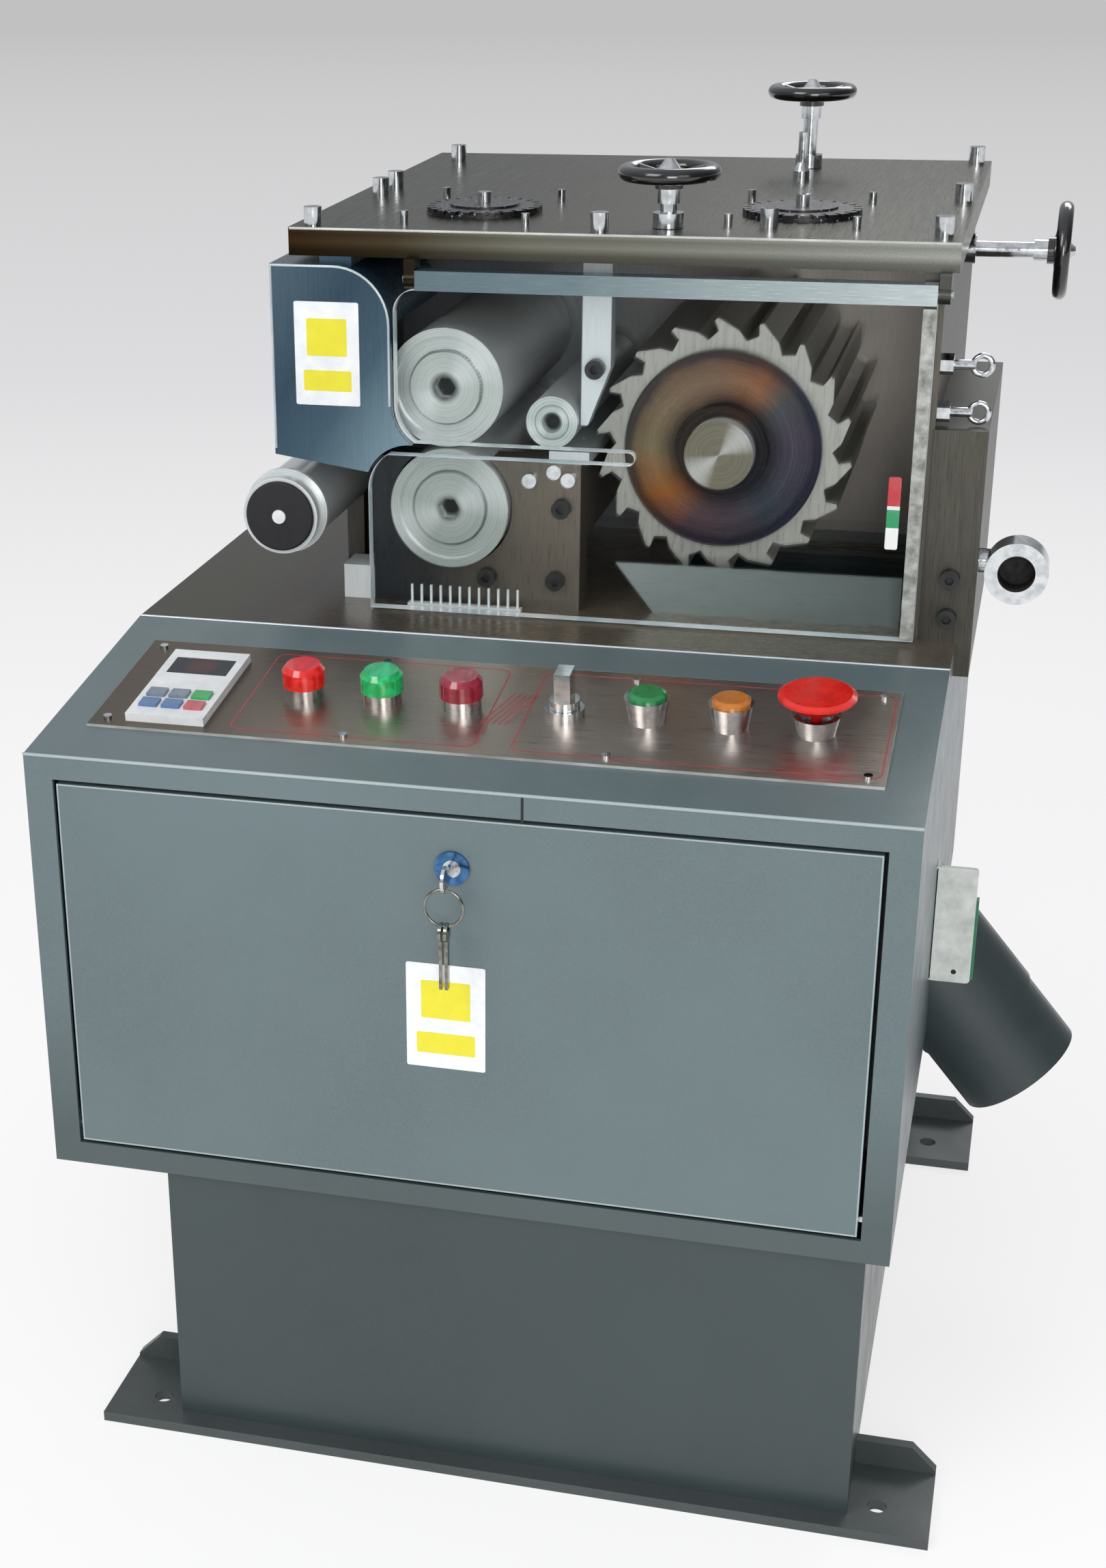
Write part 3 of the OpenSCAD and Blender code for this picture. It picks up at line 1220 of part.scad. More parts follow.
// Cutter motor on the cabinet's floor and the feed gear motor hanging through the deck
motor_base_w = 120;
module drive_motors() {
    color("#5a6b72") {
        difference() {
            union() {
                y_rod(motor_r, motor_y1 - motor_l, motor_y1, motor_x, motor_z);
                span([motor_x - motor_base_w / 2, motor_y1 - motor_l, cab_z0 + sheet_t],
                    [motor_x + motor_base_w / 2, motor_y1, motor_z - motor_r / 2]);
                span([motor_x - motor_r - deck_t * 2, motor_y1 - motor_l * 0.7, motor_z - motor_r / 4],
                    [motor_x - motor_r / 2, motor_y1 - motor_l * 0.3, motor_z + motor_r / 2]);
            }
            y_rod(roller_shaft_d / 2 + run_gap, motor_y1 - bearing_w * 2, motor_y1 + cut, motor_x, motor_z);
        }
        difference() {
            union() {
                span([lower_x - feed_box / 2, roller_end, lower_z - feed_box_h / 2],
                    [lower_x + feed_box / 2, roller_end + feed_box - cover_t, lower_z + feed_box_h / 2]);
                z_rod(feed_motor_r - cover_t, lower_z - feed_box_h / 2 - feed_motor_l,
                    lower_z - feed_box_h / 2, lower_x, roller_end + feed_box / 2);
            }
            y_rod(roller_shaft_d / 2 + run_gap, roller_end - cut, roller_end + feed_box / 2 + run_gap,
                lower_x, lower_z);
        }
    }
}
module motor_pulley() {
    color("#7f8688") {
        y_rod(roller_shaft_d / 2, motor_y1 - bearing_w * 2 + slack, pulley_y0 + belt_w, motor_x, motor_z);
        y_rod(motor_pulley_r - belt_t, pulley_y0, pulley_y0 + belt_w, motor_x, motor_z);
        for (y = [pulley_y0 - cover_t / 2, pulley_y0 + belt_w])
            y_rod(motor_pulley_r, y, y + cover_t / 2, motor_x, motor_z);
    }
}
// Mounting panel behind the door with the inverter, contactors and terminal rail
inverter = [150, 110, 190];
contactor = [45, 70, 72];
panel_in = 24;
module electrics() {
    color("#b9bdb8") {
        span([cab_x0 + panel_in, panel_y, cab_z0 + sheet_t],
            [cab_x1 - panel_in, panel_y + sheet_t, desk_z0 - body_l * 1.5]);
        span([cab_x0 + panel_in * 2, panel_y - inverter[1], cab_z0 + panel_in * 1.5],
            [cab_x0 + panel_in * 2 + inverter[0], panel_y, cab_z0 + panel_in * 1.5 + inverter[2]]);
        for (i = [0:3]) translate([cab_xm + i * (contactor[0] + cover_t), panel_y - contactor[1],
            cab_z0 + panel_in * 5]) cube(contactor);
        span([cab_xm, panel_y - contactor[1] / 2, cab_z0 + panel_in * 1.5],
            [cab_x1 - panel_in * 3, panel_y, cab_z0 + panel_in * 3]);
    }
}

plinth();
foot_rails();
control_cabinet();
table_top();
control_plate();
keypad_housing();
keypad_key_1();
keypad_key_2();
keypad_key_3();
keypad_key_4();
keypad_key_5();
keypad_key_6();
indicator_lenses();
control_collars();
selector_knob();
start_button();
stop_button();
emergency_stop();
door();
door_hinge_pins();
door_lock();
lock_key();
key_ring();
head_side_plates();
bearing_plates();
head_rear_cover();
top_plate();
bright_screws();
infeed_guard();
knife_block();
bed_knife();
socket_screws();
strand_comb();
hold_down_bracket();
discharge_hopper();
discharge_pipe();
side_cover();
air_port();
spring_caps();
eyebolt_upper();
eyebolt_lower();
handwheel_front();
handwheel_rear();
handwheel_side();
spindle_front();
spindle_rear();
spindle_side();
front_guard();
guard_rail();
rotor_cutter();
rotor_disc();
rotor_shaft();
upper_feed_roller();
lower_feed_roller();
press_roller();
guide_roller();
drive_belt();
drive_motors();
motor_pulley();
electrics();
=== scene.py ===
"""Looks for the strand pelletizer: materials, small trim, floor, light and the photograph's camera."""

import math

import bmesh
import bpy
from mathutils import Matrix, Vector

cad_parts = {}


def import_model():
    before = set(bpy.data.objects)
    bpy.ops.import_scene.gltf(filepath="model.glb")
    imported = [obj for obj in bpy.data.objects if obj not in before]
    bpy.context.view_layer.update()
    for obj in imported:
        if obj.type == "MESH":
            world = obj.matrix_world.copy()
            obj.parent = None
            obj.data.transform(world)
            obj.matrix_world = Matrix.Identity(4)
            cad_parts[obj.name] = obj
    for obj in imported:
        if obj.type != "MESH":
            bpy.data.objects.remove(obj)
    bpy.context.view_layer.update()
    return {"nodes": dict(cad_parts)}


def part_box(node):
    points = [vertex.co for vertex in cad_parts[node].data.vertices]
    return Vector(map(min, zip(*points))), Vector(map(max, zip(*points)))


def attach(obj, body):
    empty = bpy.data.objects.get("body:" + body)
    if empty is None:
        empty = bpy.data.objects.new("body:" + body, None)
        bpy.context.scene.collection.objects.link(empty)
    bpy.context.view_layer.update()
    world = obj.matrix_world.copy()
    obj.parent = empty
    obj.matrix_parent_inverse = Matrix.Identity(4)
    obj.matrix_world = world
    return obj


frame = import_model()
nodes = frame["nodes"]

FRONT = (0, -1, 0)
BACK = (0, 1, 0)
UP = (0, 0, 1)
RIGHT = (1, 0, 0)
LINE_STRETCH = 0.03  # brushed lines: features per metre along the line, as a share of those across it
WASH_WANDER = 0.06  # how far a colour wash wanders, as a share of its length


def linear(code):
    """A hex colour as linear RGBA."""
    channels = [int(code[i:i + 2], 16) / 255 for i in (1, 3, 5)]
    return [c / 12.92 if c <= 0.04045 else ((c + 0.055) / 1.055) ** 2.4 for c in channels] + [1.0]


def centre(node):
    """Middle of a CAD node's box."""
    low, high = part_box(node)
    return (Vector(low) + Vector(high)) / 2


# Node graphs

class Graph:
    """A material under construction, with short names for the nodes it uses."""

    def __init__(self, name, **values):
        self.material = bpy.data.materials.new(name)
        self.material.use_nodes = True
        self.tree = self.material.node_tree
        self.shader = self.tree.nodes["Principled BSDF"]
        coords = self.add("ShaderNodeTexCoord").outputs
        self.place, self.normal = coords["Object"], coords["Normal"]
        for socket, value in values.items():
            self.shader.inputs[socket.replace("_", " ")].default_value = value

    def add(self, kind, **settings):
        node = self.tree.nodes.new(kind)
        for key, value in settings.items():
            setattr(node, key, value)
        return node

    def join(self, source, target):
        self.tree.links.new(source, target)

    def feed(self, socket, source):
        self.join(source, self.shader.inputs[socket])

    def math(self, operation, first, second=None):
        node = self.add("ShaderNodeMath", operation=operation)
        for value, socket in zip((first, second), node.inputs):
            if value is None:
                continue
            if isinstance(value, (int, float)):
                socket.default_value = value
            else:
                self.join(value, socket)
        return node.outputs[0]

    def axis(self, name):
        """One coordinate of the point, in metres."""
        split = self.add("ShaderNodeSeparateXYZ")
        self.join(self.place, split.inputs[0])
        return split.outputs[name]

    def facing(self, name, sign):
        """1 on faces that look along one axis, or against it where sign is -1."""
        split = self.add("ShaderNodeSeparateXYZ")
        self.join(self.normal, split.inputs[0])
        return self.math("GREATER_THAN", self.math("MULTIPLY", split.outputs[name], sign), 0.7)

    def noise(self, scale, detail, stretch=(1, 1, 1), rough=0.55):
        """Noise from 0 to 1; scale counts features per metre, stretch weighs the three axes."""
        mapping = self.add("ShaderNodeMapping")
        mapping.inputs["Scale"].default_value = stretch
        self.join(self.place, mapping.inputs["Vector"])
        node = self.add("ShaderNodeTexNoise")
        node.inputs["Scale"].default_value = scale
        node.inputs["Detail"].default_value = detail
        node.inputs["Roughness"].default_value = rough
        self.join(mapping.outputs[0], node.inputs["Vector"])
        return node.outputs["Fac"]

    def sway(self, scale, detail, reach):
        """Noise that swings about zero, by half of reach to each side."""
        return self.math("MULTIPLY", self.math("SUBTRACT", self.noise(scale, detail), 0.5), reach)

    def spots(self, scale, detail, low, high, amount):
        """A mixing share from 0 to amount where noise passes from low to high."""
        return self.math("MULTIPLY", self.span(self.noise(scale, detail), low, high), amount)

    def lines(self, scale, along):
        """Fine brushed lines along one axis."""
        return self.noise(scale, 3, [LINE_STRETCH if axis == along else 1 for axis in "XYZ"], 0.7)

    def offsets(self, middle, around):
        """Distances of the point from middle along the two axes other than around."""
        return [self.math("SUBTRACT", self.axis(axis), float(place))
                for axis, place in zip("XYZ", middle) if axis != around]

    def radius(self, middle, around):
        """Distance of the point from an axis through middle, along X, Y or Z."""
        squares = [self.math("MULTIPLY", p, p) for p in self.offsets(middle, around)]
        return self.math("SQRT", self.math("ADD", *squares))

    def turn(self, middle, around):
        """Angle of the point round an axis through middle, in radians from the first other axis."""
        first, second = self.offsets(middle, around)
        return self.math("ARCTAN2", second, first)

    def rings(self, radius, scale):
        """Fine turning rings: noise that depends on the radius only."""
        node = self.add("ShaderNodeTexNoise", noise_dimensions="1D")
        node.inputs["Scale"].default_value = scale
        node.inputs["Detail"].default_value = 2.0
        self.join(radius, node.inputs["W"])
        return node.outputs["Fac"]

    def ramp(self, source, stops, step=False):
        """A colour ramp; stops are (position, hex colour or grey number)."""
        node = self.add("ShaderNodeValToRGB")
        if step:
            node.color_ramp.interpolation = "CONSTANT"
        elements = node.color_ramp.elements
        while len(elements) > 1:
            elements.remove(elements[0])
        for i, (position, colour) in enumerate(stops):
            element = elements[0] if i == 0 else elements.new(position)
            element.position = position
            element.color = linear(colour) if isinstance(colour, str) else (colour, colour, colour, 1)
        self.join(source, node.inputs[0])
        return node.outputs[0]

    def span(self, source, low, high):
        """source mapped from low..high to 0..1, clamped."""
        node = self.add("ShaderNodeMapRange")
        node.inputs["From Min"].default_value = low
        node.inputs["From Max"].default_value = high
        self.join(source, node.inputs["Value"])
        return node.outputs[0]

    def blend(self, amount, first, second, kind="MIX"):
        """first mixed with second by amount."""
        node = self.add("ShaderNodeMix", data_type="RGBA", blend_type=kind)
        sockets = {s.identifier: s for s in node.inputs}
        for key, value in (("Factor_Float", amount), ("A_Color", first), ("B_Color", second)):
            if isinstance(value, str):
                sockets[key].default_value = linear(value)
            elif isinstance(value, (int, float)):
                sockets[key].default_value = value
            else:
                self.join(value, sockets[key])
        return [s for s in node.outputs if s.identifier == "Result_Color"][0]

    def tint(self, base, colour):
        """base multiplied by another colour."""
        return self.blend(1.0, base, colour, "MULTIPLY")

    def wash(self, base, name, low, high, stops):
        """base tinted by a slow ramp of colours along one axis, from low to high metres."""
        wander = self.math("MULTIPLY", self.noise(9, 2), (high - low) * WASH_WANDER)
        place = self.math("ADD", self.axis(name), wander)
        return self.tint(base, self.ramp(self.span(place, low, high), stops))

    def rough(self, source, low, high):
        """Roughness that follows a pattern between two values."""
        self.feed("Roughness", self.ramp(source, [(0.3, low), (0.7, high)]))

    def bump(self, height, depth, strength):
        """Surface relief of depth metres from a 0 to 1 pattern."""
        node = self.add("ShaderNodeBump")
        node.inputs["Strength"].default_value = strength
        node.inputs["Distance"].default_value = depth
        self.join(height, node.inputs["Height"])
        self.feed("Normal", node.outputs[0])


# Materials

def across(node, *stops):
    """A wash over a CAD node, from its left end to its right end."""
    low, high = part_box(node)
    return "X", low[0], high[0], stops


def paint(name, light, dark, coat=0.25, wash=None):
    """Semi-gloss hammer paint with slow colour drift, dust and an orange-peel surface."""
    g = Graph(name, Metallic=0.0, Coat_Weight=coat, Coat_Roughness=0.25)
    drift = g.noise(3.5, 4)
    speck = g.noise(700, 2)
    base = g.blend(g.span(speck, 0.35, 0.9), g.ramp(drift, [(0.3, dark), (0.7, light)]), light)
    if wash:
        base = g.wash(base, *wash)
    g.feed("Base Color", base)
    g.rough(g.noise(30, 4), 0.34, 0.5)
    g.bump(g.noise(420, 2), 0.0002, 0.35)
    return g.material


def brushed(name, light, dark, along, low, high, metal=1.0, cloud=None, wash=None, right=None):
    """Brushed steel with fine lines along one axis and roughness from low to high. cloud is the share and
    colour of slow stains, wash a ramp of colours along an axis, and right a tint of painted shade that dulls
    and darkens the faces that look to the right."""
    g = Graph(name, Metallic=metal)
    lines = g.lines(1400, along)
    base = g.ramp(lines, [(0.25, dark), (0.75, light)])
    if cloud:
        amount, stain = cloud
        base = g.blend(g.spots(4.5, 3, 0.42, 0.7, amount), base, stain)
    if wash:
        base = g.wash(base, *wash)
    if right:
        # Painted shade: the faces that look to the right are tinted darker and made less metallic and less
        # glossy.
        side = g.facing("X", 1.0)
        base = g.blend(side, base, g.tint(base, right))
        others = g.math("SUBTRACT", 1.0, side)
        g.feed("Metallic", g.math("MULTIPLY", others, metal))
        g.feed("Specular IOR Level", g.math("ADD", g.math("MULTIPLY", others, 0.35), 0.15))
    g.feed("Base Color", base)
    g.rough(lines, low, high)
    g.bump(lines, 0.00006, 0.5)
    return g.material


def turned(name, node, light, dark, lean, socket=0.0, groove=0.0):
    """Steel faced in a lathe: fine rings round Y, two opposite sectors of painted highlight leaning by lean
    degrees, painted shade in the socket and in the groove, and a plain pale colour painted as light on the
    faces that do not look to the front. socket and groove are shares of the outer radius."""
    g = Graph(name, Metallic=0.5)
    middle = centre(node)
    low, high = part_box(node)
    radius = g.radius(middle, "Y")
    ring = g.rings(radius, 1500)
    base = g.ramp(ring, [(0.2, dark), (0.8, light)])
    # Painted highlight: two opposite bright sectors round the axis.
    doubled = g.math("MULTIPLY", g.math("SUBTRACT", g.turn(middle, "Y"), math.radians(lean)), 2.0)
    highlight_sector = g.span(g.math("COSINE", doubled), 0.25, 1.0)
    base = g.blend(g.math("MULTIPLY", highlight_sector, 0.4), base, "#e9eeee")
    base = g.blend(g.spots(34, 4, 0.52, 0.8, 0.25), base, dark)
    if groove:
        share = g.math("DIVIDE", radius, (high[0] - low[0]) / 2)
        # Painted shade in the socket and in the groove.
        recess_shade = g.math("ADD", share, g.sway(70, 3, 0.05))
        stops = [(socket * 0.7, "#26292b"), (socket, "#8b8f8e"), (socket + 0.08, "#ffffff"),
                 (groove - 0.03, "#f2f4f3"), (groove, "#70757a"), (groove + 0.03, "#ffffff")]
        base = g.tint(base, g.ramp(recess_shade, stops))
    # Painted light: faces that do not look to the front take a plain pale colour instead of the turned
    # pattern.
    g.feed("Base Color", g.blend(g.facing("Y", -1.0), "#e9eded", base))
    g.rough(ring, 0.24, 0.42)
    g.bump(ring, 0.00005, 0.4)
    return g.material


def chrome(name, tone, shade):
    """Bright plating with light handling marks."""
    g = Graph(name, Metallic=1.0)
    marks = g.noise(160, 4)
    g.feed("Base Color", g.ramp(marks, [(0.3, shade), (0.6, tone)]))
    g.rough(marks, 0.07, 0.2)
    return g.material


def plastic(name, light, dark, low=0.22, high=0.4, coat=0.4):
    """Moulded plastic with a slight grain."""
    g = Graph(name, Coat_Weight=coat, Coat_Roughness=0.12)
    grain = g.noise(90, 4)
    g.feed("Base Color", g.ramp(grain, [(0.3, dark), (0.7, light)]))
    g.rough(grain, low, high)
    g.bump(g.noise(1500, 2), 0.00005, 0.4)
    return g.material


def speckled():
    """Black knurled caps with bright dots of painted highlight on the knurl."""
    g = Graph("cap_knurl", Coat_Weight=0.15, Coat_Roughness=0.2)
    points = g.add("ShaderNodeTexVoronoi")
    points.inputs["Scale"].default_value = 230
    g.join(g.place, points.inputs["Vector"])
    knurl_glints = g.ramp(points.outputs["Distance"], [(0.1, "#9fa1b8"), (0.22, "#0d0e12")])
    g.feed("Base Color", knurl_glints)
    g.rough(g.noise(120, 3), 0.3, 0.5)
    g.bump(points.outputs["Distance"], 0.0004, 0.5)
    return g.material


def lamp_glass():
    """Moulded lens caps: red, green and dark red from left to right, with inner ribs."""
    g = Graph("lamp_glass", Coat_Weight=0.8, Coat_Roughness=0.05, Roughness=0.16, Emission_Strength=0.16)
    low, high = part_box("indicator_lenses")
    place = g.span(g.axis("X"), low[0], high[0])
    tint = g.ramp(place, [(0.0, "#c50d0a"), (0.33, "#00984b"), (0.66, "#7a0b24")], step=True)
    glow = g.ramp(place, [(0.0, "#e8281e"), (0.33, "#1fc070"), (0.66, "#9c1a34")], step=True)
    ribs = g.noise(200, 1, (1, 0.2, 1))
    base = g.blend(g.span(ribs, 0.42, 0.8), tint, glow)
    g.feed("Base Color", base)
    g.feed("Emission Color", base)
    g.bump(ribs, 0.0002, 0.3)
    return g.material


def acrylic():
    """Clear sheet with faint scratches: mostly open, with a light gloss."""
    g = Graph("acrylic_clear", Transmission_Weight=1.0, IOR=1.12, Alpha=0.2)
    marks = g.noise(60, 5, (1, 1, 0.4))
    g.feed("Base Color", g.ramp(marks, [(0.3, "#eef5f6"), (0.7, "#f8fcfc")]))
    g.rough(marks, 0.0, 0.05)
    g.bump(g.noise(14, 2), 0.0001, 0.08)
    return g.material


def highlight_edge(name, light, dark, scale=18):
    """Edge strip painted as a highlight: a light colour with a faint glow."""
    g = Graph(name, Transmission_Weight=0.1, IOR=1.49, Emission_Strength=0.12)
    glow = g.noise(scale, 3)
    tint = g.ramp(glow, [(0.3, dark), (0.7, light)])
    g.feed("Base Color", tint)
    g.feed("Emission Color", tint)
    g.rough(glow, 0.1, 0.25)
    return g.material


# Colours round the cutter disc, heat colours and painted reflection sectors together: degrees round the hub,
# colour
TINT_AND_GLINT_ROUND = [(-180, "#7d765c"), (-140, "#9c642c"), (-108, "#5a4852"), (-60, "#34424f"), (0, "#474457"),
              (35, "#4b5358"), (62, "#8f6548"), (100, "#7c6a58"), (180, "#7d765c")]


def heat_tint_and_glint():
    """Cutter disc: ground steel with areas round the hub that are partly heat colours and partly painted
    reflection sectors, dark rings at both edges and a faint painted sheen on its turning rings.
    """
    g = Graph("heat_tint_and_glint", Metallic=0.75)
    middle = centre("rotor_disc")
    low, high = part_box("rotor_disc")
    share = g.math("DIVIDE", g.radius(middle, "Y"), (high[0] - low[0]) / 2)
    angle = g.math("ADD", g.turn(middle, "Y"), g.sway(14, 3, 0.9))
    # Heat colours together with painted reflection sectors round the hub.
    tint_and_glint = g.ramp(g.span(angle, -math.pi, math.pi), [(a / 360 + 0.5, c) for a, c in TINT_AND_GLINT_ROUND])
    shade = g.ramp(g.math("ADD", share, g.sway(30, 3, 0.16)), [
        (0.3, "#5c5a62"), (0.46, "#4a4650"), (0.56, "#b9b2b0"), (0.7, "#efe6e2"), (0.86, "#cfc4c2"),
        (0.94, "#807d98"), (1.0, "#64788a")])
    base = g.tint(tint_and_glint, shade)
    ring = g.rings(share, 60)
    shine = g.math("MULTIPLY", g.span(ring, 0.5, 0.95), 0.15)
    g.feed("Base Color", g.blend(shine, base, "#a09a90"))
    g.rough(ring, 0.22, 0.36)
    g.bump(ring, 0.00004, 0.4)
    return g.material


def electric():
    """Electrical panel: light grey plate at the back and dark grey bodies on it."""
    g = Graph("electric", Coat_Weight=0.1)
    low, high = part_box("electrics")
    depth = g.span(g.axis("Y"), low[1], high[1])
    tone = g.ramp(g.math("ADD", depth, g.sway(300, 3, 0.04)), [
        (0.0, "#3b3f42"), (0.75, "#33373a"), (0.86, "#4a4e50"), (0.93, "#b6bab8"), (1.0, "#c3c7c5")])
    g.feed("Base Color", tone)
    g.rough(g.noise(90, 3), 0.35, 0.5)
    g.bump(g.noise(900, 2), 0.00005, 0.3)
    return g.material


def rubber(name, tone, light):
    """Dull black rubber."""
    g = Graph(name)
    grain = g.noise(240, 4)
    g.feed("Base Color", g.ramp(grain, [(0.3, tone), (0.7, light)]))
    g.rough(grain, 0.55, 0.8)
    g.bump(grain, 0.0002, 0.4)
    return g.material


def banded(name, low, high, stops):
    """Printed film with plain bands of colour, from low to high."""
    g = Graph(name, Coat_Weight=0.5, Coat_Roughness=0.2)
    place = g.math("ADD", g.axis("Z"), g.sway(80, 2, (high - low) * 0.01))
    bands = g.ramp(g.span(place, low, high), stops, step=True)
    dust = g.noise(60, 4)
    g.feed("Base Color", g.blend(g.math("MULTIPLY", g.span(dust, 0.45, 0.9), 0.2), bands, "#c9cdcd"))
    g.rough(dust, 0.35, 0.55)
    return g.material


TOP_PLATE_T = 0.022


def top_steel():
    """Ground top plate: olive with a green patch at the left on top; its front edge gets lighter bands of
    painted highlight, brown to grey.
    """
    g = Graph("top_steel", Metallic=1.0)
    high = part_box("top_plate")[1]
    lines = g.lines(900, "Y")
    olive = g.ramp(lines, [(0.25, "#3d3b2f"), (0.75, "#4c4a3d")])
    olive = g.blend(g.spots(5, 3, 0.45, 0.7, 0.5), olive, "#2e3320")
    olive = g.wash(olive, *across("top_plate", (0.0, "#a4c886"), (0.35, "#dedac4"), (1.0, "#ffffff")))
    # Painted highlight: the front edge face gets lighter bands than the top.
    edge = g.ramp(g.span(g.axis("Z"), high[2] - TOP_PLATE_T, high[2]), [
        (0.0, "#4e4f4b"), (0.3, "#62635d"), (0.55, "#93958f"), (0.8, "#7d7f79"), (1.0, "#a3a5a0")])
    edge = g.wash(edge, *across("top_plate", (0.0, "#6a4c34"), (0.2, "#8c7a60"), (0.4, "#d8d4c8"),
                                (1.0, "#ffffff")))
    g.feed("Base Color", g.blend(g.facing("Y", -1.0), olive, edge))
    g.rough(lines, 0.22, 0.36)
    g.bump(lines, 0.00002, 0.3)
    return g.material


def infeed_steel():
    """Blued plate of the infeed guard, lighter towards its lower right corner."""
    g = Graph("infeed_steel", Metallic=0.6)
    low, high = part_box("infeed_guard")
    lines = g.lines(900, "Z")
    base = g.ramp(lines, [(0.25, "#9eb2bd"), (0.75, "#b4c6cf")])
    down = g.span(g.math("ADD", g.axis("Z"), g.math("MULTIPLY", g.noise(16, 3), 0.03)), low[2], high[2])
    rightward = g.span(g.axis("X"), low[0], high[0])
    corner = g.math("MULTIPLY", g.math("ADD", rightward, g.math("SUBTRACT", 1.0, down)), 0.5)
    shade = g.ramp(corner, [(0.0, "#74858e"), (0.3, "#4d6373"), (0.55, "#647b88"), (0.85, "#b9c8ce")])
    g.feed("Base Color", g.tint(base, shade))
    g.rough(lines, 0.2, 0.36)
    g.bump(lines, 0.00006, 0.5)
    return g.material


GREY = paint("hammer_grey", "#637376", "#566568")
# The cabinet's grey, darker towards the bottom of its front as painted shade.
CABINET = paint("cabinet_grey", "#637376", "#566568", wash=(
    "Z", 0.25, 0.36, [(0.0, "#c2c2c0"), (0.6, "#e6e6e6"), (1.0, "#ffffff")]))
# Lighter copy of the grey paint, for painted highlights along the sheet's folds.
FOLD_HIGHLIGHT = paint("fold_highlight_grey", "#a7b4b6", "#93a1a4")
# The machine's grey paint darkened as painted shade, for the plinth, the head's rear cover and the discharge
# pipe.
SHADED_GREY = paint("hammer_grey_shaded", "#374344", "#2e393a")
FEET = paint("foot_paint", "#484f50", "#363c3c", coat=0.1)
DECK = brushed("deck_steel", "#b1aaa0", "#8e877d", "X", 0.2, 0.34, metal=0.6, wash=across(
    "table_top", (0.0, "#5e594c"), (0.1, "#5a6042"), (0.2, "#584c43"), (0.42, "#c4bdb2"), (0.7, "#e0dace"),
    (1.0, "#c4c0b8")))
PANEL = brushed("panel_steel", "#d3c8c0", "#ada29a", "X", 0.26, 0.42, cloud=(0.25, "#8f827b"), wash=across(
    "control_plate", (0.03, "#908e86"), (0.2, "#9e9c94"), (0.33, "#dad7d0"), (0.53, "#f4f1ee"),
    (1.0, "#ffffff")))
# Side plates and side cover carry painted shade on their right faces.
SIDES = brushed("side_steel", "#6f6b63", "#4e4a43", "Z", 0.26, 0.42, metal=0.4, cloud=(0.3, "#34312c"),
                right="#a8a09a")
COVER = brushed("cover_steel", "#5a574e", "#3b3931", "Z", 0.24, 0.4, metal=0.35, cloud=(0.4, "#26251f"),
                right="#a8a09a")
WALLS = brushed("wall_steel", "#dcdad6", "#bebcb8", "Z", 0.3, 0.46, metal=0.3, wash=across(
    "bearing_plates", (0.0, "#a2abb4"), (0.45, "#9a9ea4"), (0.62, "#b4aeaa"), (0.75, "#f0e8e2"),
    (1.0, "#f4ece6")))
BLOCK = brushed("block_steel", "#94928c", "#76746e", "Z", 0.24, 0.4, metal=0.6, wash=across(
    "knife_block", (0.0, "#55606e"), (0.3, "#6c7278"), (0.62, "#c0bab2"), (1.0, "#dcd4ca")))
BRIGHT = brushed("bright_steel", "#d2dadc", "#c0c9cb", "Z", 0.28, 0.42, metal=0.5)
HOPPER = brushed("hopper_steel", "#a9b4b3", "#95a19f", "X", 0.26, 0.42, metal=0.6, wash=across(
    "discharge_hopper", (0.0, "#f1f3f3"), (0.365, "#d8dcdc"), (0.934, "#a9adad")))
RAIL = brushed("rail_bright", "#e3e9ea", "#bcc6c9", "X", 0.15, 0.3, metal=0.6, wash=across(
    "guard_rail", (0.0, "#74868f"), (0.35, "#8b9ca2"), (0.6, "#b8c2c2"), (1.0, "#dfe4e4")))
COMB = brushed("comb_steel", "#e9eeee", "#d6dddd", "Z", 0.3, 0.44, metal=0.3)
TOOTH = brushed("tooth_steel", "#b4b5ae", "#8f918a", "Z", 0.24, 0.4, metal=0.6)
CHROME = chrome("chrome_bright", "#dadddf", "#b4b9bd")
KEY_STEEL = chrome("key_steel", "#96948a", "#5e5c54")
BLACK = plastic("black_gloss", "#101114", "#08090b", 0.1, 0.26, 0.8)
WHITE = plastic("white_moulded", "#eceeee", "#dcdfe0", 0.35, 0.5, 0.1)
OXIDE = plastic("black_oxide", "#232527", "#141516", 0.3, 0.5, 0.0)
RED_LINE = plastic("red_line", "#b0464b", "#8f3a40", 0.3, 0.45, 0.0)
KEY_BLUE = plastic("key_blue", "#5f7fae", "#4b6a9b")
KEY_SLATE = plastic("key_slate", "#7f8d9d", "#6b7a8b")
# Acrylic edges: painted highlight with a faint glow.
EDGE_HIGHLIGHT = highlight_edge("acrylic_edge_highlight", "#f4f8f8", "#b9cdd3")
BELT = rubber("belt_rubber", "#0e0e0f", "#1d1d1f")
GROOVE = rubber("groove_dark", "#14181a", "#1f2426")
# Black for the painted shade inside bores.
BORE_SHADE = rubber("bore_shade", "#070708", "#0d0d0e")

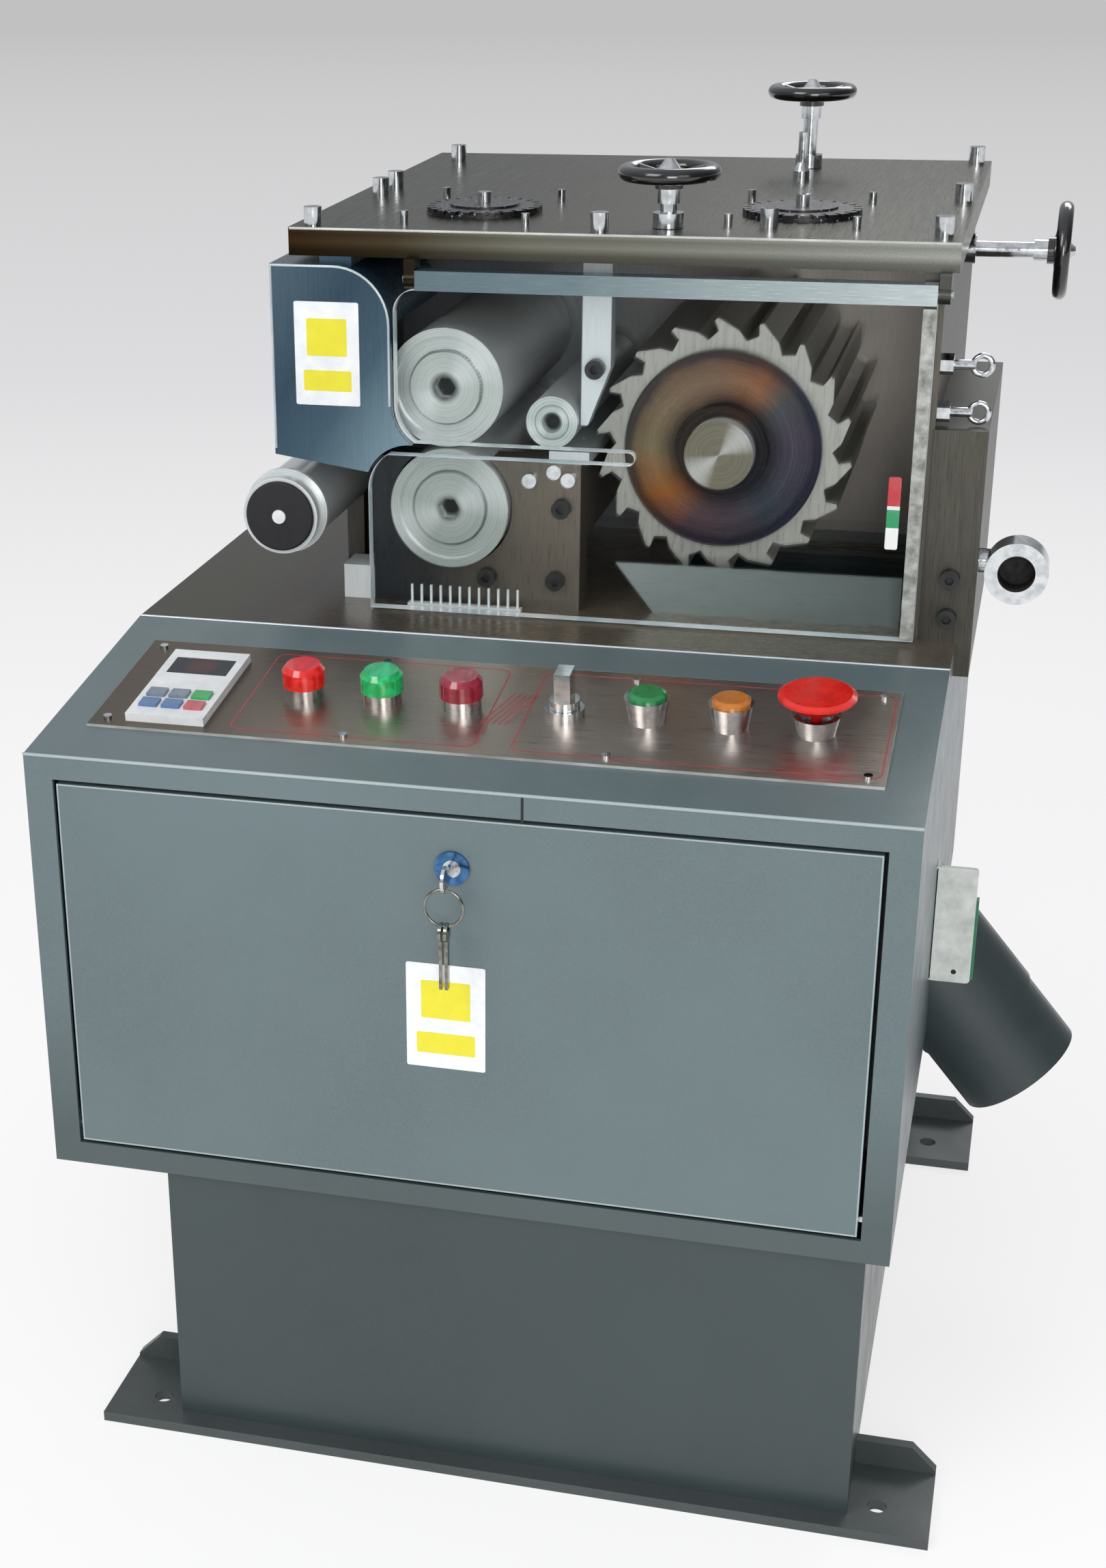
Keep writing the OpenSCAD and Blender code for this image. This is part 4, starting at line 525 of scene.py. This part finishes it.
LOOKS = {
    "plinth": SHADED_GREY, "foot_rails": FEET, "control_cabinet": CABINET, "table_top": DECK,
    "control_plate": PANEL, "keypad_housing": WHITE, "indicator_lenses": lamp_glass(),
    "control_collars": CHROME, "selector_knob": chrome("knob_clear", "#f0f3f4", "#d5dadc"), "door": GREY,
    "door_hinge_pins": CHROME, "door_lock": chrome("lock_blue", "#4f7aa6", "#2f5680"), "lock_key": CHROME,
    "key_ring": KEY_STEEL, "head_side_plates": SIDES, "bearing_plates": WALLS, "head_rear_cover": SHADED_GREY,
    "top_plate": top_steel(), "bright_screws": CHROME, "infeed_guard": infeed_steel(),
    "knife_block": BLOCK, "bed_knife": BRIGHT, "socket_screws": OXIDE, "strand_comb": COMB,
    "hold_down_bracket": BRIGHT, "discharge_hopper": HOPPER, "discharge_pipe": SHADED_GREY, "side_cover": COVER,
    "air_port": CHROME, "spring_caps": speckled(), "front_guard": acrylic(), "guard_rail": RAIL,
    "rotor_cutter": TOOTH, "rotor_disc": heat_tint_and_glint(),
    "rotor_shaft": turned("shaft_turned", "rotor_shaft", "#7d7a68", "#5b584a", 40),
    "upper_feed_roller": turned("upper_turned", "upper_feed_roller", "#c3cbc7", "#a5aeab", 40, 0.2, 0.62),
    "lower_feed_roller": turned("lower_turned", "lower_feed_roller", "#b6c0bc", "#97a29e", 25, 0.16, 0.62),
    "press_roller": turned("press_turned", "press_roller", "#c0cbc7", "#a0aba7", 30, 0.36, 0.66),
    "guide_roller": turned("guide_turned", "guide_roller", "#dfe3e3", "#bfc5c6", 30),
    "drive_belt": BELT, "drive_motors": paint("motor_paint", "#5f7076", "#505f65"),
    "motor_pulley": CHROME, "electrics": electric(),
    "keypad_key_3": plastic("key_red", "#c9666c", "#b0525a"),
    "keypad_key_6": plastic("key_green", "#3fb069", "#2f9a57"),
    "start_button": plastic("start_green", "#118a48", "#0a7238", 0.15, 0.3, 0.7),
    "stop_button": plastic("stop_orange", "#c9781c", "#ad6113", 0.15, 0.3, 0.7),
    "emergency_stop": plastic("stop_red", "#ea1f10", "#cf160a", 0.22, 0.36, 0.5),
}
LOOKS.update((name, KEY_BLUE) for name in ("keypad_key_1", "keypad_key_2"))
LOOKS.update((name, KEY_SLATE) for name in ("keypad_key_4", "keypad_key_5"))
LOOKS.update((name, CHROME) for name in ("eyebolt_upper", "eyebolt_lower"))
for place in ("front", "rear", "side"):
    LOOKS["handwheel_" + place] = BLACK
    LOOKS["spindle_" + place] = CHROME
for name, node in nodes.items():
    node.data.materials.clear()
    node.data.materials.append(LOOKS[name])


# Mesh helpers

CORNER_STEPS = 6
BEAD_SIDES = 8


def finish_piece(mesh, name, material, body, bevel=0.0):
    """Turns a bmesh into an object that rides on a CAD body and takes the given material."""
    data = bpy.data.meshes.new(name)
    bmesh.ops.recalc_face_normals(mesh, faces=mesh.faces)
    mesh.to_mesh(data)
    mesh.free()
    piece = bpy.data.objects.new(name, data)
    bpy.context.scene.collection.objects.link(piece)
    data.materials.append(material)
    if bevel:
        modifier = piece.modifiers.new("bevel", "BEVEL")
        modifier.width = bevel
        modifier.segments = 2
        modifier.limit_method = "ANGLE"
    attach(piece, body)
    return piece


def rounded(middle, right, up, size, corner):
    """Points of a rectangle with round corners in the plane of right and up."""
    points = []
    for cx, cy, start in ((1, 1, 0), (-1, 1, 90), (-1, -1, 180), (1, -1, 270)):
        for i in range(CORNER_STEPS + 1):
            angle = math.radians(start + 90 * i / CORNER_STEPS)
            x = cx * (size[0] / 2 - corner) + corner * math.cos(angle)
            y = cy * (size[1] / 2 - corner) + corner * math.sin(angle)
            points.append(Vector(middle) + right * x + up * y)
    return points


def thicken(mesh, faces, way):
    """Extrudes faces along a vector into a closed solid."""
    grown = bmesh.ops.extrude_face_region(mesh, geom=faces)["geom"]
    bmesh.ops.translate(mesh, vec=way, verts=[v for v in grown if isinstance(v, bmesh.types.BMVert)])


def board(name, middle, right, up, size, thick, corner, material, body, bevel=0.0003):
    """A thin board with round corners, standing on the plane through middle; right and up span it."""
    right, up = Vector(right).normalized(), Vector(up).normalized()
    mesh = bmesh.new()
    face = mesh.faces.new([mesh.verts.new(p) for p in rounded(middle, right, up, size, corner)])
    thicken(mesh, [face], right.cross(up) * thick)
    return finish_piece(mesh, name, material, body, bevel)


def line_frame(name, middle, right, up, size, width, thick, corner, material, body):
    """A flat frame line with round corners, printed on the plane through middle."""
    right, up = Vector(right).normalized(), Vector(up).normalized()
    mesh = bmesh.new()
    outer = [mesh.verts.new(p) for p in rounded(middle, right, up, size, corner)]
    inner_size = (size[0] - 2 * width, size[1] - 2 * width)
    inner = [mesh.verts.new(p) for p in rounded(middle, right, up, inner_size, corner - width)]
    count = len(outer)
    faces = [mesh.faces.new((outer[i], outer[(i + 1) % count], inner[(i + 1) % count], inner[i]))
             for i in range(count)]
    thicken(mesh, faces, right.cross(up) * thick)
    return finish_piece(mesh, name, material, body)


def circle(count):
    """Angles of count points evenly round a circle."""
    return [math.tau * k / count for k in range(count)]


def seam(name, points, plane, radius, material, body, closed=False):
    """A fine round bead along a line of points that all lie in one plane."""
    plane = Vector(plane).normalized()
    points = [Vector(p) for p in points]
    count = len(points)
    mesh = bmesh.new()
    rings = []
    for i, point in enumerate(points):
        after = (points[(i + 1) % count] - point).normalized() if closed or i < count - 1 else None
        before = (point - points[i - 1]).normalized() if closed or i else None
        before, after = before or after, after or before
        side = plane.cross((before + after).normalized())
        reach = radius / max(side.dot(plane.cross(before)), 0.3)
        rings.append([mesh.verts.new(point + plane * radius * math.cos(a) + side * reach * math.sin(a))
                      for a in circle(BEAD_SIDES)])
    for i in range(count if closed else count - 1):
        first, second = rings[i], rings[(i + 1) % count]
        for k in range(BEAD_SIDES):
            following = (k + 1) % BEAD_SIDES
            mesh.faces.new((first[k], first[following], second[following], second[k]))
    if not closed:
        mesh.faces.new(rings[0])
        mesh.faces.new(rings[-1])
    return finish_piece(mesh, name, material, body)


def lathe(name, base, out, profile, material, body, steps=64):
    """A turned piece: (radius, height) points along the axis out, from radius 0 back to radius 0."""
    out = Vector(out).normalized()
    first = out.orthogonal().normalized()
    second = out.cross(first)
    mesh = bmesh.new()
    rings = []
    for radius, height in profile:
        spot = Vector(base) + out * height
        if radius == 0:
            rings.append([mesh.verts.new(spot)] * steps)
            continue
        rings.append([mesh.verts.new(spot + (first * math.cos(a) + second * math.sin(a)) * radius)
                      for a in circle(steps)])
    for lower, upper in zip(rings, rings[1:]):
        for k in range(steps):
            following = (k + 1) % steps
            corners = [lower[k], lower[following], upper[following], upper[k]]
            mesh.faces.new(list(dict.fromkeys(corners)))
    piece = finish_piece(mesh, name, material, body)
    for face in piece.data.polygons:
        face.use_smooth = len(face.vertices) == 4
    return piece


def edge_skin(name, node, keep, lift, material, body):
    """A thin skin over those faces of a CAD node that keep(normal, centre) picks."""
    mesh = bmesh.new()
    mesh.from_mesh(nodes[node].data)
    drop = [f for f in mesh.faces if not keep(f.normal, f.calc_center_median())]
    bmesh.ops.delete(mesh, geom=drop, context="FACES")
    bmesh.ops.remove_doubles(mesh, verts=mesh.verts, dist=1e-6)
    mesh.normal_update()
    for vertex in mesh.verts:
        vertex.co += vertex.normal * lift
    grown = bmesh.ops.extrude_face_region(mesh, geom=mesh.faces[:])
    for vertex in grown["geom"]:
        if isinstance(vertex, bmesh.types.BMVert):
            vertex.co += vertex.normal * lift
    return finish_piece(mesh, name, material, body)


# Trim

DESK_RUN = 0.228
DESK_RISE = 0.029
DESK_TILT = math.atan(DESK_RISE / DESK_RUN)
DESK_UP = Vector((0, math.cos(DESK_TILT), math.sin(DESK_TILT)))
DESK_OUT = Vector((0, -math.sin(DESK_TILT), math.cos(DESK_TILT)))
PLATE_T = 0.002
LINE_W = 0.0011
LINE_T = 0.0001
BEAD = 0.0009
SKIN = 0.00015
LABEL_T = 0.0006
FIELD_T = 0.0002
# Fields of a label: name, then height of the middle, width and height as shares of the plate
LABEL_FIELDS = (("upper", 0.66, 0.62, 0.36), ("lower", 0.24, 0.74, 0.2))
TAB_BANDS = [(0.0, "#eceeea"), (0.3, "#12915a"), (0.55, "#dfe3df"), (0.6, "#b8202c")]

cabinet_low, cabinet_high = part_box("control_cabinet")
deck_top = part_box("table_top")[1][2]
desk_front = Vector((0, cabinet_low[1], deck_top - DESK_RISE))


def on_desk(x, along, out):
    """A point of the desk: x in the machine's frame, then up the slope and out of it."""
    return desk_front + Vector((x, 0, 0)) + DESK_UP * along + DESK_OUT * out


def label(name, x, z, size, y, body):
    """A plain white plate with two plain yellow fields, glued on a front face."""
    low = z - size[1] / 2
    card = plastic(name + "_card", "#f0f2f2", "#dfe3e6", 0.35, 0.5, 0.2)
    field = plastic(name + "_field", "#e6dc2a", "#dfd528", 0.35, 0.5, 0.2)
    board(name, (x, y, z), RIGHT, UP, size, LABEL_T, 0.0015, card, body, 0.0001)
    for part, height, wide, tall in LABEL_FIELDS:
        board("%s_%s" % (name, part), (x, y - LABEL_T, low + size[1] * height), RIGHT, UP,
              (size[0] * wide, size[1] * tall), FIELD_T, 0.0012, field, body, 0.0)


def keypad_glass():
    """Dark display window of the keypad, with a reddish lit middle."""
    low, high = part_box("keypad_housing")
    x = (low[0] + high[0]) / 2
    along, rise = 0.1353, 0.0072
    wide, tall, thick = 0.0445, 0.0255, 0.0006
    glass = Graph("display_glass", Coat_Weight=0.2, Coat_Roughness=0.1, Specular_IOR_Level=0.25)
    spot = glass.span(glass.radius((x, *on_desk(x, along, rise)[1:]), "Z"), 0.006, 0.014)
    glass.feed("Base Color", glass.ramp(spot, [(0.0, "#4a2a24"), (1.0, "#191f2b")]))
    glass.rough(glass.noise(200, 3), 0.1, 0.2)
    board("keypad_display", on_desk(x, along, rise), RIGHT, DESK_UP, (wide, tall), thick, 0.001,
          glass.material, "frame", 0.0002)


def panel_lines():
    """Printed red frames round the lamps and the buttons, with slanting strokes between them."""
    lower, upper = 0.056, 0.177
    middle, tall, corner = (lower + upper) / 2, upper - lower, 0.008
    for name, left, right in (("lamp_frame", -0.206, -0.033), ("button_frame", -0.009, 0.235)):
        line_frame(name, on_desk((left + right) / 2, middle, PLATE_T), RIGHT, DESK_UP, (right - left, tall),
                   LINE_W, LINE_T, corner, RED_LINE, "frame")
    lean = math.radians(74)
    slant = Vector((math.cos(lean), 0, 0)) + DESK_UP * math.sin(lean)
    level = Vector((math.sin(lean), 0, 0)) - DESK_UP * math.cos(lean)
    strokes, first, pitch, length = 5, -0.030, 0.0042, 0.05
    for i in range(strokes):
        board("stroke_%d" % (i + 1), on_desk(first + i * pitch, middle, PLATE_T), level, slant,
              (LINE_W, length), LINE_T, 0.0004, RED_LINE, "frame", 0.0)


def plate_edges():
    """Painted highlight with a faint glow on the cut edges of the desk plate's outline."""
    low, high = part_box("control_plate")
    near = 0.0005

    def outer(normal, middle):
        ends = middle.x < low[0] + near or middle.x > high[0] - near
        return abs(normal.dot(DESK_OUT)) < 0.5 and (ends or abs(normal.dot(DESK_UP)) > 0.999)

    edge_skin("plate_edges", "control_plate", outer, SKIN, highlight_edge("plate_edge", "#c9ccc8", "#8f918c"),
              "frame")


def guard_trim():
    """Painted highlight with a faint glow on the clear guard's edges and on a strip along its right edge, and
    a coloured tab.
    """
    low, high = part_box("front_guard")
    face = low[1]
    edge_skin("guard_edges", "front_guard", lambda normal, middle: abs(normal.y) < 0.5, SKIN, EDGE_HIGHLIGHT, "guard")
    strip_w, strip_t, short = 0.009, 0.0015, 0.004
    # Strip of painted highlight with a faint glow along the guard's right edge.
    strip = highlight_edge("guard_highlight_strip", "#bdbfba", "#6f716a", 110)
    board("guard_highlight_strip", (high[0] - strip_w / 2, face, (low[2] + high[2]) / 2), RIGHT, UP,
          (strip_w, high[2] - low[2] - short), strip_t, 0.001, strip, "guard")
    tab_x, tab_w, tab_t = 0.2165, 0.009, 0.0012
    tab_low, tab_high = 0.634, 0.686
    tab = banded("guard_tab", tab_low, tab_high, TAB_BANDS)
    board("guard_tab", (tab_x, face, (tab_low + tab_high) / 2), RIGHT, UP, (tab_w, tab_high - tab_low), tab_t,
          0.0015, tab, "guard")


def head_edges():
    """Beads of painted highlight with a faint glow round the infeed guard's front plate and along the top
    plate's upper front edge.
    """
    low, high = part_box("infeed_guard")
    wide, corner, tab, rise, down, steps = 0.09, 0.042, 0.005, 0.015, 0.1, 12
    y, right, top = low[1], low[0] + wide, high[2] - tab
    outline = [(low[0] + BEAD, y, low[2] + rise), (low[0] + BEAD, y, top - BEAD)]
    for i in range(steps + 1):
        angle = math.radians(90 - 90 * i / steps)
        outline.append((right - corner + (corner - BEAD) * math.cos(angle), y,
                        top - corner + (corner - BEAD) * math.sin(angle)))
    outline.append((right - BEAD, y, top - down))
    seam("infeed_edge_highlight", outline, FRONT, BEAD, highlight_edge("infeed_edge_highlight", "#c9d3d6", "#93a2a9"), "frame")
    low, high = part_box("top_plate")
    y = min(v.co.y for v in nodes["top_plate"].data.vertices if v.co.z > high[2] - 0.001)
    z = high[2] - BEAD
    seam("top_edge_highlight", [(low[0] + BEAD, y, z), (high[0] - BEAD, y, z)], FRONT, BEAD,
         highlight_edge("top_edge_highlight", "#d3d6d0", "#9fa29a"), "frame")


def port_hole():
    """Painted shade inside the air port: a black skin on the faces within its bore, behind its front edge."""
    low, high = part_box("air_port")
    radius = (high[2] - low[2]) / 2
    x, z = high[0] - radius, (low[2] + high[2]) / 2
    bore, front, lift = radius * 0.62, low[1] + 0.0005, 0.0002

    def inside(normal, middle):
        return normal.y < 0.5 and middle.y > front and math.hypot(middle.x - x, middle.z - z) < bore

    edge_skin("port_hole", "air_port", inside, lift, BORE_SHADE, "frame")


def cabinet_beads():
    """Beads of painted highlight on the folds of the cabinet's and the door's sheet, and the groove above the
    door.
    """
    left, right, front, top = cabinet_low[0], cabinet_high[0], cabinet_low[1], desk_front.z
    for name, y, z, radius, material, slot in (
            ("fold_front", front, top, BEAD * 1.3, FOLD_HIGHLIGHT, "grey_paint"),
            ("fold_deck", front + DESK_RUN, deck_top, BEAD, BRIGHT, "brushed_plate")):
        seam(name, [(left, y, z), (right, y, z)], FRONT, radius, material, "frame")
    low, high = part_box("door")
    inset = BEAD / 2
    x0, x1, z0, z1 = low[0] + inset, high[0] - inset, low[2] + inset, high[2] - inset
    corners = [(x, low[1], z) for x, z in ((x0, z0), (x1, z0), (x1, z1), (x0, z1))]
    seam("fold_door", corners, FRONT, BEAD * 0.7, FOLD_HIGHLIGHT, "door", closed=True)
    groove_x, groove_w, groove_t, short = 0.0127, 0.0018, 0.0002, 0.003
    board("groove", (groove_x, front, (high[2] + top) / 2), RIGHT, UP, (groove_w, top - high[2] - short),
          groove_t, 0.0003, GROOVE, "frame", 0.0)


def side_tag():
    """White tag with a green edge, bent out from the cabinet's right wall."""
    x, y = cabinet_high[0], 0.020
    low, high = 0.290, 0.385
    wide, deep, foot = 0.031, 0.004, 0.016
    tall, z = high - low, (low + high) / 2
    card = plastic("tag_white", "#e6e9e5", "#c3c8c2", 0.35, 0.5, 0.1)
    green = plastic("tag_green", "#118457", "#0b6b45", 0.3, 0.45, 0.2)
    board("side_tag", (x + wide / 2, y, z), RIGHT, UP, (wide, tall), deep, 0.003, card, "frame")
    board("side_tag_edge", (x + wide, y + 0.001, z - tall * 0.12), BACK, UP, (deep * 2, tall * 0.7), 0.002,
          0.001, green, "frame")
    board("side_tag_foot", (x, y + deep, z), BACK, UP, (foot, tall), 0.0015, 0.001, card, "frame")
    lathe("side_tag_rivet", (x + wide * 0.6, y - deep, low + 0.009), FRONT,
          [(0, 0), (0.002, 0), (0.0016, 0.0008), (0, 0.001)], GROOVE, "frame", 20)


def guide_cap():
    """Black end cap of the guide roller with a chamfered rim and a white button."""
    middle, front = centre("guide_roller"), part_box("guide_roller")[0][1]
    radius, thick, button = 0.0262, 0.0032, 0.0055
    lathe("guide_cap", (middle.x, front, middle.z), FRONT,
          [(0, 0), (radius, 0), (radius, 0.0018), (0.0248, 0.003), (0, thick)],
          rubber("cap_rubber", "#121013", "#262327"), "guide_roller")
    lathe("guide_button", (middle.x, front - thick, middle.z), FRONT,
          [(0, 0), (button, 0), (0.005, 0.0012), (0, 0.0016)], WHITE, "guide_roller", 32)


keypad_glass()
panel_lines()
plate_edges()
guard_trim()
head_edges()
port_hole()
cabinet_beads()
side_tag()
guide_cap()
label("infeed_label", -0.1965, 0.7565, (0.049, 0.075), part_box("infeed_guard")[0][1], "frame")
label("door_label", -0.039, 0.371, (0.055, 0.078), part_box("door")[0][1], "door")


# Floor, light and camera

BACKDROP = "#cccbcc"


def floor():
    """Pale floor, white near the machine and light grey far behind it, with the machine's shadow."""
    reach, near, far, glow_share = 40.0, -0.3, 14.0, 0.74
    mesh = bmesh.new()
    corners = [mesh.verts.new((x * reach, y * reach, 0)) for x, y in ((-1, -1), (1, -1), (1, 1), (-1, 1))]
    mesh.faces.new(corners)
    data = bpy.data.meshes.new("floor")
    mesh.to_mesh(data)
    mesh.free()
    piece = bpy.data.objects.new("floor", data)
    bpy.context.scene.collection.objects.link(piece)
    g = Graph("floor_pale", Roughness=0.9, Specular_IOR_Level=0.1)
    tone = g.ramp(g.span(g.axis("Y"), near, far), [
        (0.0, "#ffffff"), (0.08, "#fbfafb"), (0.25, "#e6e6e7"), (1.0, BACKDROP)])
    g.feed("Base Color", tone)
    glow = g.add("ShaderNodeEmission")
    g.join(tone, glow.inputs["Color"])
    rays = g.add("ShaderNodeLightPath").outputs
    seen = g.math("ADD", rays["Is Camera Ray"], rays["Is Glossy Ray"])
    seen = g.math("MINIMUM", g.math("ADD", seen, rays["Is Transmission Ray"]), 1.0)
    mix = g.add("ShaderNodeMixShader")
    g.join(g.math("MULTIPLY", seen, glow_share), mix.inputs[0])
    g.join(g.shader.outputs[0], mix.inputs[1])
    g.join(glow.outputs[0], mix.inputs[2])
    g.join(mix.outputs[0], g.tree.nodes["Material Output"].inputs["Surface"])
    data.materials.append(g.material)


def lamp(name, place, aim, size, power):
    """A soft rectangular lamp that looks at the machine's axis at height aim."""
    light = bpy.data.lights.new(name, "AREA")
    light.shape = "RECTANGLE"
    light.size, light.size_y = size
    light.energy = power
    holder = bpy.data.objects.new(name, light)
    bpy.context.scene.collection.objects.link(holder)
    holder.location = place
    way = Vector((0, 0, aim)) - Vector(place)
    holder.rotation_euler = way.to_track_quat("-Z", "Y").to_euler()


def world():
    """Even studio surroundings, darker low down and on the right so that metal shows form, before a plain
    pale backdrop."""
    space = bpy.data.worlds.new("studio")
    space.use_nodes = True
    tree = space.node_tree
    back = tree.nodes["Background"]
    coords = tree.nodes.new("ShaderNodeTexCoord")
    split = tree.nodes.new("ShaderNodeSeparateXYZ")
    ramp = tree.nodes.new("ShaderNodeValToRGB")
    side = tree.nodes.new("ShaderNodeMapRange")
    tree.links.new(coords.outputs["Generated"], split.inputs[0])
    tree.links.new(split.outputs["Z"], ramp.inputs[0])
    tree.links.new(split.outputs["X"], side.inputs["Value"])
    ramp.color_ramp.elements[0].color = (0.34, 0.35, 0.36, 1)
    ramp.color_ramp.elements[1].color = (0.86, 0.87, 0.9, 1)
    ramp.color_ramp.elements[1].position = 0.7
    for socket, value in (("From Min", 0.2), ("From Max", 0.9), ("To Min", 0.8), ("To Max", 0.25)):
        side.inputs[socket].default_value = value
    tree.links.new(ramp.outputs[0], back.inputs["Color"])
    tree.links.new(side.outputs[0], back.inputs["Strength"])
    backdrop = tree.nodes.new("ShaderNodeBackground")
    backdrop.inputs["Color"].default_value = linear(BACKDROP)
    mix = tree.nodes.new("ShaderNodeMixShader")
    rays = tree.nodes.new("ShaderNodeLightPath")
    tree.links.new(rays.outputs["Is Camera Ray"], mix.inputs[0])
    tree.links.new(back.outputs[0], mix.inputs[1])
    tree.links.new(backdrop.outputs[0], mix.inputs[2])
    tree.links.new(mix.outputs[0], tree.nodes["World Output"].inputs["Surface"])
    bpy.context.scene.world = space


PHOTO_SIZE = (1620, 2296)
FOCAL_PX = 3485.84
PRINCIPAL_PX = (568.31, 1317.35)
CAMERA_PLACE = (0.31865, -1.68109, 1.09592)
PITCH, ROLL, YAW = -0.4173, 0.0183, 0.2775
SENSOR = 36.0


def camera():
    """The photograph's camera: its place, turn, lens and shift."""
    data = bpy.data.cameras.new("photo_camera")
    data.sensor_fit = "VERTICAL"
    data.sensor_height = SENSOR
    data.lens = FOCAL_PX / PHOTO_SIZE[1] * SENSOR
    data.shift_x = (PHOTO_SIZE[0] / 2 - PRINCIPAL_PX[0]) / PHOTO_SIZE[1]
    data.shift_y = (PRINCIPAL_PX[1] - PHOTO_SIZE[1] / 2) / PHOTO_SIZE[1]
    holder = bpy.data.objects.new("photo_camera", data)
    bpy.context.scene.collection.objects.link(holder)
    turn = Matrix.Rotation(YAW, 3, "Z") @ Matrix.Rotation(PITCH, 3, "X") @ Matrix.Rotation(ROLL, 3, "Y")
    look = turn @ Matrix.Rotation(math.radians(90), 3, "X")
    holder.matrix_world = Matrix.Translation(CAMERA_PLACE) @ look.to_4x4()
    bpy.context.scene.camera = holder


# Lamps: name, place, height of the target on the machine's axis, size, watts
LAMPS = (
    ("key", (-1.6, -2.6, 2.8), 0.45, (1.8, 1.8), 44),
    ("front", (0.9, -3.2, 1.3), 0.65, (1.2, 1.2), 34),
    ("fill", (2.2, -2.4, 1.8), 0.5, (1.4, 1.4), 10),
    ("rim", (0.6, 2.6, 2.6), 0.6, (2.0, 1.2), 30),
)

floor()
world()
for settings in LAMPS:
    lamp(*settings)
camera()
bpy.context.scene.view_settings.view_transform = "Standard"
